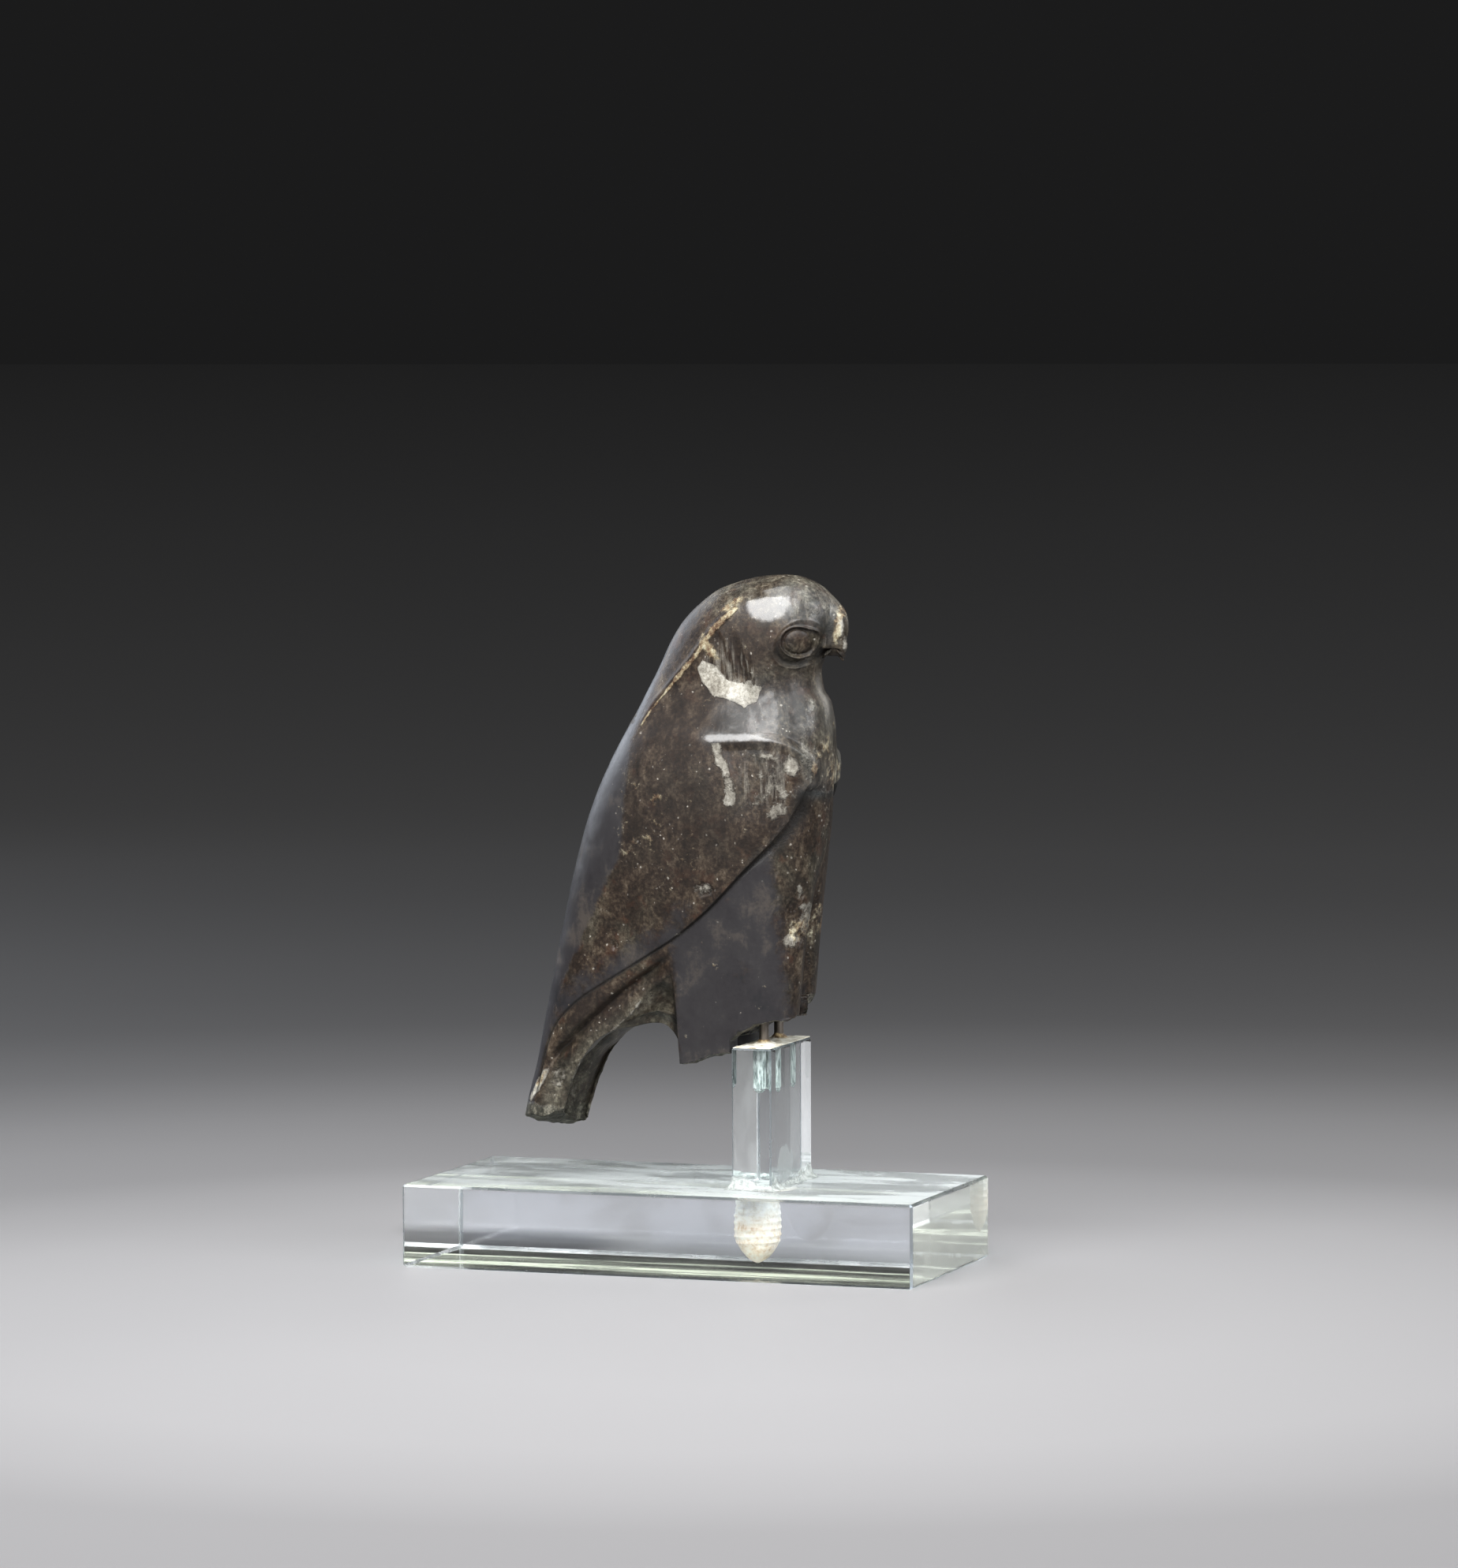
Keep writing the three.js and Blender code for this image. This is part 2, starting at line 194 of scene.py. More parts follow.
def upright_rod(name, middle, radius, low, high, around=24):
    """A round rod on an upright axis."""
    turn = np.linspace(0, 2 * np.pi, around, endpoint=False)
    level = np.stack([middle[0] + radius * np.cos(turn), middle[1] + radius * np.sin(turn)], axis=-1)
    rings = [np.column_stack([level, np.full(around, z)]) for z in (high, low)]
    return lofted(name, np.stack(rings))


falcon = lofted("falcon_carving", body_rings(rows=420, around=360))
cut(falcon, lofted("beak", beak_rings(rows=60, around=64)), "UNION")
cut(falcon, side_prism("lost_below", np.vstack([arch, leg_foot, broken_slope])))
cut(falcon, side_prism("lost_left", left_break, low=0))

# Each leg is drilled a little wider than its pin.
PINS = ("pin_right", "pin_left")
drill_gap = 0.3
for name in PINS:
    pin_low, pin_high = (np.array(corner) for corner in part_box(name))
    pin_middle = ((pin_low + pin_high) / 2 - seat) / share
    pin_radius = (pin_high[0] - pin_low[0]) / 2 / share
    pin_end = (pin_high[2] - seat[2]) / share
    cut(falcon, upright_rod("drill", pin_middle, pin_radius + drill_gap, -10, pin_end + drill_gap))

# The mesh is made even, with points close enough to carry the carved lines.
quick_pitch, pitch = 0.3, 0.17
remesh = falcon.modifiers.new("even", "REMESH")
remesh.mode = "VOXEL"
remesh.voxel_size = pitch
finished(falcon)


def coordinates(mesh, layer="co"):
    """The points of a mesh, or their normals, as rows of three."""
    flat = np.empty(len(mesh.vertices) * 3, np.float32)
    mesh.vertices.foreach_get(layer, flat)
    return flat.reshape(-1, 3).astype(float)


def edges_of(mesh):
    """The two ends of every edge of a mesh."""
    flat = np.empty(len(mesh.edges) * 2, np.int32)
    mesh.edges.foreach_get("vertices", flat)
    return flat.reshape(-1, 2)


def relaxed(points, edges, passes, weight):
    """Each pass moves every point part of the way to the mean of the points it shares an edge with."""
    count = np.bincount(edges.ravel(), minlength=len(points))
    for _ in range(passes):
        total = np.stack([
            np.bincount(edges[:, 0], points[edges[:, 1], axis], len(points))
            + np.bincount(edges[:, 1], points[edges[:, 0], axis], len(points))
            for axis in range(3)
        ], axis=-1)
        points = points + weight * (total / count[:, None] - points)
    return points


def placed(mesh, points):
    """Puts new points into a mesh."""
    mesh.vertices.foreach_set("co", points.astype(np.float32).ravel())
    mesh.update()


def beside(line, x, z):
    """Distance from a line in the side view, positive on its left, and how far along it, from 0 to 1."""
    line = np.asarray(line, float)
    length = np.concatenate([[0], np.cumsum(np.linalg.norm(np.diff(line, axis=0), axis=1))])
    best = np.full(x.shape, 1e9)
    side = np.zeros(x.shape)
    along = np.zeros(x.shape)
    for start, end, before, after in zip(line[:-1], line[1:], length[:-1], length[1:]):
        dx, dz = end - start
        t = ((x - start[0]) * dx + (z - start[1]) * dz) / (dx * dx + dz * dz)
        t = np.clip(t, 0, 1)
        away_x, away_z = x - start[0] - t * dx, z - start[1] - t * dz
        distance = np.hypot(away_x, away_z)
        nearer = distance < best
        best = np.where(nearer, distance, best)
        side = np.where(nearer, np.sign(dx * away_z - dz * away_x), side)
        along = np.where(nearer, before + t * (after - before), along)
    return best * side, along / length[-1]


def within(outline, x, z):
    """Distance from a closed outline in the side view, positive inside it."""
    outline = np.asarray(outline, float)
    closed = np.vstack([outline, outline[:1]])
    crossings = np.zeros(x.shape, bool)
    for (x0, z0), (x1, z1) in zip(closed[:-1], closed[1:]):
        spans = (z0 > z) != (z1 > z)
        rise = z1 - z0 if z1 != z0 else 1e-9
        crossings ^= spans & (x < (x1 - x0) * (z - z0) / rise + x0)
    distance = np.abs(beside(closed, x, z)[0])
    return np.where(crossings, distance, -distance)


def cloud(points, size, seed):
    """Smooth noise from 0 to 1: random values on a lattice of that pitch, blended between its corners."""
    cells = 32
    lattice = np.random.default_rng(seed).random((cells, cells, cells))
    scaled = points / size
    low = np.floor(scaled).astype(int)
    t = scaled - low
    t = t * t * (3 - 2 * t)
    value = np.zeros(len(points))
    for corner in np.ndindex(2, 2, 2):
        weight = np.prod(np.where(corner, t, 1 - t), axis=1)
        i, j, k = ((low + corner) % cells).T
        value += weight * lattice[i, j, k]
    return value


def bumps(points, size, seed, octaves=4):
    """Clouds of halving pitch and height added up, from about -1 to 1."""
    total = sum(0.5**n * (2 * cloud(points, size * 0.5**n, seed + n) - 1) for n in range(octaves))
    return total / 1.3


# The carved lines, seen from the side.
wing_top = through([
    [-26.5, 53], [-22.3, 54.8], [-15.8, 57], [-7.5, 56], [2.2, 56.2], [6.2, 55.3], [9.3, 52.9],
    [10.6, 49.5], [10.3, 46],
])
wing_foot = through([
    [10.3, 46], [8.8, 46.3], [8.0, 43.5], [6.6, 40.3], [3.7, 36.6], [-1.1, 31.6], [-7.2, 25.4],
    [-13.7, 20.1], [-19.9, 16.2], [-26.4, 12.3], [-32.8, 8.5], [-36.6, 5.6], [-39.4, 2.6],
    [-41.4, -1.8], [-42.2, -5], [-43.2, -9.5],
])
tips_foot = through([
    [-16, 16], [-20.9, 12.8], [-26.4, 8.9], [-29.7, 6.2], [-33.8, 2.8], [-37.1, -0.2],
    [-39.8, -2.5], [-45, -9.5],
])
tail_arris = through([
    [-17.5, 11.5], [-20.3, 9.6], [-23.4, 5.8], [-26.7, 2.8], [-29.9, -0.2], [-34, -3.8],
    [-37.5, -11], [-38.5, -16],
])
nape_edge = through([
    [-2.2, 79.6], [-5.2, 76.9], [-7.4, 74.7], [-11, 70], [-16.1, 64.4], [-20.8, 58.6],
    [-23.6, 53.8], [-26, 48.5],
])
band_edge = through([
    [-19.4, 67.3], [-21.8, 59.6], [-23.4, 54.7], [-23.8, 44.8], [-24.6, 35], [-27.5, 29],
    [-30.8, 23.2], [-34, 17.2], [-37.1, 11.4], [-38.9, 6.8], [-40.7, 1.1],
])
zigzag = through([[-5.6, 56.4], [-4.2, 52.2], [-2.7, 49], [-2.1, 46.9], [-2.3, 44.1], [-3.0, 41]])
leg_back = through([[-16.8, 24], [-15.7, 14], [-15.2, 8], [-15, 2], [-14.8, -5]])
cheek_outline = through([
    [-6.2, 76], [-9.0, 72], [-10.4, 68.2], [-9.5, 65.8], [-7.4, 63.6], [-4.7, 62.8], [-2.4, 62],
    [-1.2, 61], [1.2, 62.4], [1.4, 65.5], [0.4, 70], [-2, 75], [-6.2, 76],
])[:-1]
eye_place = np.array([7.85, 72.85])


def step(width, distance):
    """A soft step from 0 to 1 as a distance goes from below nought to above it."""
    return ramp(-width, width, distance)


def bead(width, distance):
    """A rounded ridge of height 1 along the line where a distance is nought."""
    return np.exp(-((distance / width) ** 2))


def oval(x, z, middle, half, corner=0.0, tilt=0):
    """Distance from an oval round the eye, about true, positive outside; its upper front may be drawn out."""
    a = np.radians(tilt)
    x, z = x - eye_place[0] - middle[0], z - eye_place[1] - middle[1]
    u, v = (x * np.cos(a) + z * np.sin(a)) / half[0], (z * np.cos(a) - x * np.sin(a)) / half[1]
    radius = np.hypot(u, v)
    drawn = 1 + corner * np.exp(-(((np.arctan2(v, u) - 0.5) / 0.36) ** 2))
    return (radius / drawn - 1) * min(half)


def eye_carving(x, z):
    """A low ball in a sunk ring, a thin raised lid round it, a groove deepest below, and a fine outer rim."""
    ball = np.hypot((x - eye_place[0]) / 2.2, (z - eye_place[1]) / 2.3)
    lid = oval(x, z, (0, -0.05), (2.75, 2.65), 0.24)
    rim = oval(x, z, (-0.1, -0.4), (4.6, 3.5), 0, 50)
    lower = 0.3 + 0.7 * ramp(2, -2.5, z - eye_place[1] - 0.25 * (x - eye_place[0]))
    out = 0.62 * np.sqrt(np.clip(1 - ball**2, 0, 1)) - 0.62 * step(0.16, -lid)
    out += 0.3 * bead(0.22, lid - 0.12)
    out -= 0.6 * lower * bead(0.5, rim + 0.55)
    out += 0.26 * lower * bead(0.2, rim - 0.1)
    return out


def carving(points, normals):
    """How far the stone's surface is moved outwards by the carving, in hundredths of its height."""
    x, y, z = points.T
    near = step(0.6, -y)
    # the wing's raised upper edge, boldest at the shoulder
    top, _ = beside(wing_top, x, z)
    foot, foot_along = beside(wing_foot, x, z)
    in_wing = step(0.16, -foot)
    off_foot = step(0.3, foot)
    sideways = np.maximum(ramp(0.1, 0.45, np.abs(normals[:, 1])), ramp(6, 0, x))
    bevel = np.clip(0.5 - top / 1.8, 0, 1)
    bold = 0.25 + 0.27 * ramp(-14, -6, x) + 0.1 * ramp(2, 9, x)
    out = in_wing * bevel * bold * sideways * ramp(-24, -17, x)
    # the groove under the wing's edge, wide and deep at the front, a thin cut further back
    front = ramp(0.3, 0.05, foot_along)
    groove = np.where(foot > 0, bead(0.3 + 1.6 * front, foot), bead(0.14, foot))
    out -= (0.34 + 0.75 * front) * groove * sideways
    # the crossed wing tips, the tail below them and its soft lower edge
    tips, _ = beside(tips_foot, x, z)
    arris, _ = beside(tail_arris, x, z)
    behind = ramp(-14.5, -19, x)
    below_tips = 0.7 * step(0.6, tips) + 0.75 * bead(0.85, tips - 0.5)
    out -= off_foot * behind * below_tips * ramp(-42.2, -38.5, x)
    out += off_foot * behind * 0.3 * bead(0.7, arris + 0.3)
    out -= off_foot * behind * 0.62 * np.clip(arris, 0, 5)
    # the leg stands out from the hollow behind it
    past_leg, _ = beside(leg_back, x, z)
    hollow = 1.6 * ramp(9.5, 0.5, -past_leg) * ramp(14.5, 7, z)
    hollow += 1.5 * ramp(3.4, 0.6, -past_leg) * ramp(10, 3, z)
    out -= step(0.3, -past_leg) * hollow * off_foot
    # the raised edge of the nape
    nape, nape_along = beside(nape_edge, x, z)
    fade = ramp(0, 0.1, nape_along) * ramp(0.86, 0.6, nape_along)
    out += fade * (0.35 * step(0.7, -nape) + 0.4 * bead(0.75, nape + 0.15))
    # the worn front of the wing, sunk below the rest
    zig, zig_along = beside(zigzag, x, z)
    hollow = step(1.25, zig) * ramp(0.9, 2.6, -top) * ramp(0.3, 2, -foot) * ramp(9.3, 5, x)
    out -= 0.6 * near * hollow * (zig_along > 0) * ramp(1, 0.6, zig_along)
    # the cheek's hollow, deepest above its lower lip
    cheek = within(cheek_outline, x, z)
    out -= near * ramp(0, 3.3, cheek) * ramp(77, 66, z)
    out -= (1 - near) * 0.4 * ramp(0, 4, cheek)
    # the recess between eye and beak, and the corner of the mouth
    out -= 0.6 * bead(1, np.hypot((x - 12.3) / 0.8, (z - 74.4) / 2.2)) * ramp(0, 1, np.abs(y) - 1)
    out -= 0.35 * bead(0.8, z - 73.1) * ramp(12.8, 13.8, x)
    out += 0.04 * np.cos(2 * np.pi * (z - 70) / 0.75) * ramp(13, 13.8, x) * ramp(72.6, 72, z)
    out -= 0.45 * bead(0.3, z - 70.3 - 0.25 * (x - 12.5)) * ramp(9.4, 10.4, x) * ramp(14.6, 13.6, x)
    return out + eye_carving(x, z) * ramp(0.1, 0.35, np.abs(normals[:, 1]))


# Chips on the right side: place along X and height, half sizes and depth.
CHIPS = [
    [-8, 28.4, 1.7, 1.4, 0.3],
    [7.2, 22, 1.4, 4.6, 0.45],
    [7.9, 28.3, 0.8, 2.0, 0.3],
    [-26.3, 17.8, 0.9, 1.1, 0.4],
    [-38.4, -7, 1.6, 2.4, 0.35],
]


def breaks(points, normals):
    """Chips, scratches and fractured faces, and the slight waves of a hand-rubbed surface."""
    x, y, z = points.T
    near = step(0.6, -y)
    rubbed = 0.07 * bumps(points, 7, seed=3) + 0.03 * bumps(points, 1.7, seed=11, octaves=3)
    # faces left by the breaks look down: under the legs, in the arch they stay smooth
    under = ramp(-0.35, -0.75, normals[:, 2])
    legs_end = under * ramp(-15.5, -13.5, x) * ramp(13, 9, z)
    tail_end = under * ramp(-9, -12, z)
    fractured = np.clip(legs_end + tail_end, 0, 1)
    out = rubbed + fractured * (0.55 * bumps(points, 2.6, seed=21) + 0.1)
    # tool strokes in the cheek's hollow, steep and close together
    strokes = np.stack([x + 0.34 * z, np.zeros_like(x), z * 0.12 - 0.05 * x], axis=-1)
    cheek = within(cheek_outline, x, z)
    out += near * 0.22 * ramp(0.3, 1.2, cheek) * ramp(64, 66.5, z) * bumps(strokes, 1.1, seed=31, octaves=2)
    # chips down the right leg's front edge and on the wing
    for chip_x, chip_z, size_x, size_z, depth in CHIPS:
        blob = np.hypot((x - chip_x) / size_x, (z - chip_z) / size_z) + 0.35 * bumps(points, 1.3, seed=41)
        out -= near * depth * ramp(1.1, 0.55, blob) * (1 + 0.5 * bumps(points, 0.9, seed=43))
    return out


mesh = falcon.data
edges = edges_of(mesh)
points = relaxed(coordinates(mesh), edges, 5, 0.5)
x, y, z = points.T
# the arris of the arch is worn round
arch_edge = ramp(2.2, 0.8, np.abs(beside(arch, x, z)[0])) * ramp(-14.6, -16.5, x) * ramp(-14.5, -12, z)
arch_edge *= 1 - 0.85 * ramp(-20, -24, x) * ramp(-9, -6, z)
points = relaxed(points, edges, 60, 0.6 * arch_edge[:, None])
placed(mesh, points)
normals = coordinates(mesh, "normal")
points = points + normals * (carving(points, normals) + breaks(points, normals))[:, None]
# the wings' fronts stand ahead of the breast, and the legs part in a tapering cleft
x, y, z = points.T
shoulder = step(0.8, -beside(wing_top, x, z)[0]) * ramp(41.5, 47, z)
points[:, 0] += 0.9 * shoulder * ramp(0, 0.6, normals[:, 0]) * ramp(0.15, 0.7, np.abs(normals[:, 1]))
cleft = ramp(38, 14, z) * (1.5 * bead(1.2, y) + 1.3 * bead(3.6, y))
points[:, 0] -= cleft * ramp(0.15, 0.6, normals[:, 0])
# the beak's underside is arched behind its hooked tip, and the tail is broken off at a slant
points[:, 2] += 1.2 * ramp(14.1, 13, x) * ramp(71.8, 70.2, z) * ramp(9.2, 11.2, x)
points[:, 2] -= 0.24 * y * ramp(-2, -13, z) * ramp(-24, -31, x)
placed(mesh, points)

most_triangles = 185000
thin = falcon.modifiers.new("thin", "DECIMATE")
thin.ratio = min(1, most_triangles / (2 * len(mesh.polygons)))
finished(falcon)
mesh = falcon.data
mesh.shade_smooth()


def oval_spot(x, z, middle_x, middle_z, half_x, half_z, tilt=0):
    """1 inside an oval, a half on its edge and 0 some way outside."""
    a = np.radians(tilt)
    u = (x - middle_x) * np.cos(a) + (z - middle_z) * np.sin(a)
    v = (z - middle_z) * np.cos(a) - (x - middle_x) * np.sin(a)
    return ramp(1.6, 0.4, np.hypot(u / half_x, v / half_z))


# The cheek's lower lip in the side view.
CHEEK_LIP = [
    [-10.4, 68], [-9.5, 66], [-7.2, 63.4], [-4.7, 62.9], [-2.4, 62.1], [-1.2, 61.1], [-0.3, 61.8],
    [1, 62.3], [1.6, 64.7], [0.7, 64.9], [-0.7, 65.6], [-2.5, 65.4], [-4.8, 65.9], [-6.1, 67],
    [-7.1, 68.4], [-9.5, 69.4],
]

# Worn ovals in the side view, and one painted highlight down the tail's back edge: middle, half sizes, tilt
# in degrees, strength.
PALE = [
    [4.6, 47.5, 4.4, 4.8, 0, 0.4],
    [7.5, 50.8, 1.4, 2.4, 10, 0.8],
    [3.8, 52.6, 4.0, 0.8, -4, 0.62],
    [6.0, 46.2, 0.8, 1.8, 10, 0.6],
    [5.4, 42.8, 2.4, 1.2, 30, 0.5],
    [-8.2, 28.6, 1.9, 1.3, 10, 0.62],
    [7.9, 23.4, 0.75, 3.6, -4, 0.66],
    [6.2, 19.2, 1.5, 1.3, 30, 0.6],
    [7.8, 28.2, 0.5, 1.9, 0, 0.62],
    [10.3, 78.5, 2.6, 1.5, 0, 0.45],
    [-24.8, 58.2, 1.4, 2.6, -20, 0.35],
    [-26.4, 17.8, 1.2, 1.4, 0, 0.45],
    [-12, 21.6, 2.6, 0.5, 37, 0.5],
    # a painted highlight: the bright streak down the tail's back edge
    [-43, -8.6, 0.7, 3.9, -33, 0.9],
    [9.6, 55, 1.4, 8, 4, 0.42],
    [9.7, 14, 1.6, 9, 2, 0.34],
    [13.9, 75.4, 0.6, 1.9, -4, 0.9],
    [14.6, 71.4, 0.5, 2.0, 4, 0.7],
    [11.4, 70.8, 1.2, 0.35, 30, 0.7],
    [-38.6, -6.5, 1.6, 2.4, 0, 0.55],
]
PALE_LEFT = [
    [3, 45, 3.4, 4, 0, 0.6],
    [-14, 36, 2.2, 1.5, 30, 0.8],
    [-33, 20, 1.2, 2, 0, 0.6],
    [5, 16, 1.5, 5, 0, 0.7],
    [10.3, 78, 2.2, 1.6, 0, 0.5],
    [14.0, 74, 0.8, 4, -4, 0.8],
    [-40, -9, 3, 3, 0, 0.6],
]
OCHRE = [
    [-8.6, 71.6, 1.4, 3.2, 35, 0.5],
    [-4, 79.6, 4.5, 0.8, 30, 0.5],
    [13.6, 76, 0.7, 4, -4, 0.6],
    [11.3, 51, 0.7, 6, 0, 0.42],
    [7.4, 21.8, 1.3, 3.4, -10, 0.46],
    [-18, 38, 9, 12, 10, 0.22],
    # the orange edge of the painted highlight down the tail's back edge
    [-43.3, -8.9, 0.5, 3.2, -33, 0.6],
]


def wear(points, normals):
    """Masks from 0 to 1 of the stone's state at each point; the edge of a worn place lies at a half."""
    x, y, z = points.T
    near = step(0.6, -y)
    foot, foot_along = beside(wing_foot, x, z)
    top, _ = beside(wing_top, x, z)
    band, _ = beside(band_edge, x, z)
    past_leg, _ = beside(leg_back, x, z)
    # smooth and grey: the back, the legs and the hip; the front edge of the legs is mottled
    back = step(1.2, -band)
    legs = step(0.5, foot) * ramp(-17, -13, x) * ramp(8.6, 3.6, x + 0.06 * z) * ramp(44, 38, z)
    smooth = np.maximum(back, legs)
    smooth = np.maximum(smooth, 0.75 * ramp(7, 0, -foot) * ramp(-8, -14, x) * step(0.3, -foot))
    # where the polish still mirrors: the crown's side, the throat and the wing's bevel; the satin on the
    # throat, the brow and the wing's top edge also carries a painted blue-grey sheen
    gloss = 0.8 * bead(0.9, top + 0.15) * ramp(-9.5, -6.5, x) * ramp(8, 3, x)
    gloss = np.maximum(gloss, oval_spot(x, z, 2.6, 80.2, 4.0, 3.5, 6))
    satin_and_painted_sheen = 0.9 * oval_spot(x, z, 3.8, 60, 8, 5.2)
    satin_and_painted_sheen = np.maximum(satin_and_painted_sheen, 1.1 * oval_spot(x, z, 8.6, 79.2, 5.4, 3.2, -25))
    satin_and_painted_sheen = np.maximum(satin_and_painted_sheen, 0.6 * bead(1.3, top - 0.1) * ramp(-10, -6, x))
    dusty = np.maximum(0.85 * ramp(76.5, 81, z), 0.65 * oval_spot(x, z, 10.5, 58, 3, 9))
    dusty = np.maximum(dusty, 0.6 * oval_spot(x, z, 8, 68, 5, 2.6))
    dusty = np.maximum(dusty, step(0.5, foot) * ramp(-14, -18, x) * ramp(2, 4, beside(tips_foot, x, z)[0]))
    deep = np.maximum(oval_spot(x, z, -12, 57, 11, 8, 40), oval_spot(x, z, -1, 72, 6, 4.5))
    deep = np.maximum(deep, 0.85 * oval_spot(x, z, -15, 40, 15, 12))
    deep = np.maximum(deep, 0.8 * oval_spot(x, z, -30.5, 6, 6, 4, 40))
    # cream patches where the polish has gone, and a painted highlight down the tail's back edge
    zig, zig_along = beside(zigzag, x, z)
    strip = 0.66 * ramp(1.6, 0.3, np.abs(zig + 0.6)) * (zig_along > 0)
    strip *= ramp(1, 0.8, zig_along) * ramp(0.6, 1.2, -top)
    pale_wear_and_painted_highlight = np.maximum(strip, ramp(-0.35, 0.15, within(CHEEK_LIP, x, z)))
    strokes = near * ramp(0.2, 1.2, within(cheek_outline, x, z)) * ramp(74.5, 69, z)
    strokes = np.maximum(strokes, 0.85 * near * oval_spot(x, z, 4.2, 48.6, 4.6, 4.6))
    strokes = np.maximum(strokes, 0.8 * oval_spot(x, z, 9.2, 79.4, 4.2, 2.4, -25))
    for row in PALE:
        pale_wear_and_painted_highlight = np.maximum(pale_wear_and_painted_highlight, row[-1] * oval_spot(x, z, *row[:-1]))
    pale_left = np.max([row[-1] * 0.7 * oval_spot(x, z, *row[:-1]) for row in PALE_LEFT], axis=0)
    pale_wear_and_painted_highlight = near * pale_wear_and_painted_highlight + (1 - near) * pale_left
    # ochre along the nape, on the beak and on the broken faces, and the orange edge of the painted highlight
    # on the tail's back edge
    nape, nape_along = beside(nape_edge, x, z)
    width = 0.62 - 0.34 * ramp(0.15, 0.6, nape_along)
    ochre_and_painted_glint = 0.8 * bead(width, nape + 0.1) * ramp(0.0, 0.06, nape_along) * ramp(0.9, 0.65, nape_along)
    under = ramp(-0.3, -0.7, normals[:, 2])
    fracture = under * np.maximum(ramp(-15, -13.5, x) * ramp(13, 9, z), ramp(-9, -12, z))
    fracture = np.maximum(fracture, 0.62 * ramp(-10.6, -13.4, z + 0.12 * x + 4.6))
    ochre_and_painted_glint = np.maximum(ochre_and_painted_glint, 0.56 * under * ramp(-15, -11, x) * ramp(11, 8, z))
    for row in OCHRE:
        ochre_and_painted_glint = np.maximum(ochre_and_painted_glint, row[-1] * oval_spot(x, z, *row[:-1]))
    # painted shade in the carved lines and hollows: wide under the wing's overhanging front, below the eye,
    # between eye and beak, along the mouth, in the cleft between the legs and behind the leg
    rim = oval(x, z, (-0.1, -0.4), (4.6, 3.5), 0, 50)
    front = ramp(0.3, 0.05, foot_along)
    painted_shade_in_hollows = bead(0.28 + 0.9 * front, foot - 0.12 - 0.5 * front)
    painted_shade_in_hollows = np.maximum(painted_shade_in_hollows, 0.8 * bead(0.4, rim + 0.55) * ramp(3, -1, z - eye_place[1]))
    shade = 0.4 + 1.7 * ramp(11, 3, z)
    painted_shade_in_hollows = np.maximum(painted_shade_in_hollows, step(0.4, shade + past_leg) * step(0.2, -past_leg) * ramp(12, 8, z))
    painted_shade_in_hollows = np.maximum(painted_shade_in_hollows, 0.9 * bead(1, np.hypot((x - 12.2) / 0.9, (z - 74.2) / 2.3)))
    painted_shade_in_hollows = np.maximum(painted_shade_in_hollows, 0.8 * bead(0.4, z - 70.1 - 0.25 * (x - 12.5)) * ramp(9.4, 10.4, x))
    painted_shade_in_hollows = np.maximum(painted_shade_in_hollows, 0.85 * bead(0.6, y + 0.9) * ramp(34, 20, z) * ramp(0, 0.5, normals[:, 0]))
    # a painted highlight along the sharp edge between flank and arch
    arris, arris_along = beside(tail_arris, x, z)
    rubbed = near * 0.56 * bead(0.3, arris) * ramp(0.1, 0.2, arris_along) * ramp(0.9, 0.75, arris_along)
    return {
        "smooth": smooth, "gloss": gloss, "satin_and_painted_sheen": satin_and_painted_sheen, "dusty": dusty, "deep": deep,
        "pale_wear_and_painted_highlight": np.maximum(pale_wear_and_painted_highlight, rubbed), "strokes": strokes, "ochre_and_painted_glint": ochre_and_painted_glint, "fracture": fracture,
        "painted_shade_in_hollows": painted_shade_in_hollows,
    }


def kept_on(mesh, layer, values):
    """Keeps a value from 0 to 1 on each point of a mesh, for its material to read."""
    held = mesh.attributes.new(layer, "FLOAT", "POINT")
    held.data.foreach_set("value", np.clip(values, 0, 1).astype(np.float32))


points = coordinates(mesh)
masks = wear(points, coordinates(mesh, "normal"))
for layer, values in masks.items():
    kept_on(mesh, layer, values)
placed(mesh, points * share + seat)


def fed(tree, made, inputs):
    """Gives each named input of a node a value, or a link from another node's output."""
    for key, value in inputs.items():
        if isinstance(value, bpy.types.NodeSocket):
            tree.links.new(value, made.inputs[key])
        else:
            made.inputs[key].default_value = value
    return made


def node(tree, kind, inputs=None, **settings):
    """Adds a shader node with its inputs and settings."""
    made = tree.nodes.new("ShaderNode" + kind)
    for key, value in settings.items():
        setattr(made, key, value)
    return fed(tree, made, inputs or {})


def group(name, inputs, outputs):
    """An empty node group with those sockets: its tree, what it is given and its end node."""
    tree = bpy.data.node_groups.new(name, "ShaderNodeTree")
    for label, kind, value in inputs:
        socket = tree.interface.new_socket(label, in_out="INPUT", socket_type="NodeSocket" + kind)
        if value is not None:
            socket.default_value = value
    for label, kind in outputs:
        tree.interface.new_socket(label, in_out="OUTPUT", socket_type="NodeSocket" + kind)
    return tree, tree.nodes.new("NodeGroupInput").outputs, tree.nodes.new("NodeGroupOutput")


def use(tree, shared, inputs):
    """Puts a node group into a tree and gives its first output."""
    made = tree.nodes.new("ShaderNodeGroup")
    made.node_tree = shared
    return fed(tree, made, inputs).outputs[0]


def material(name, **values):
    """A new material, its tree and its shader; values go to the sockets of those names, _ for a space."""
    made = bpy.data.materials.new(name)
    made.use_nodes = True
    shader = made.node_tree.nodes["Principled BSDF"]
    for key, value in values.items():
        shader.inputs[key.replace("_", " ")].default_value = value
    return made, made.node_tree, shader


def object_place(tree):
    """Each point's place on the object, in metres."""
    return node(tree, "TexCoord").outputs["Object"]


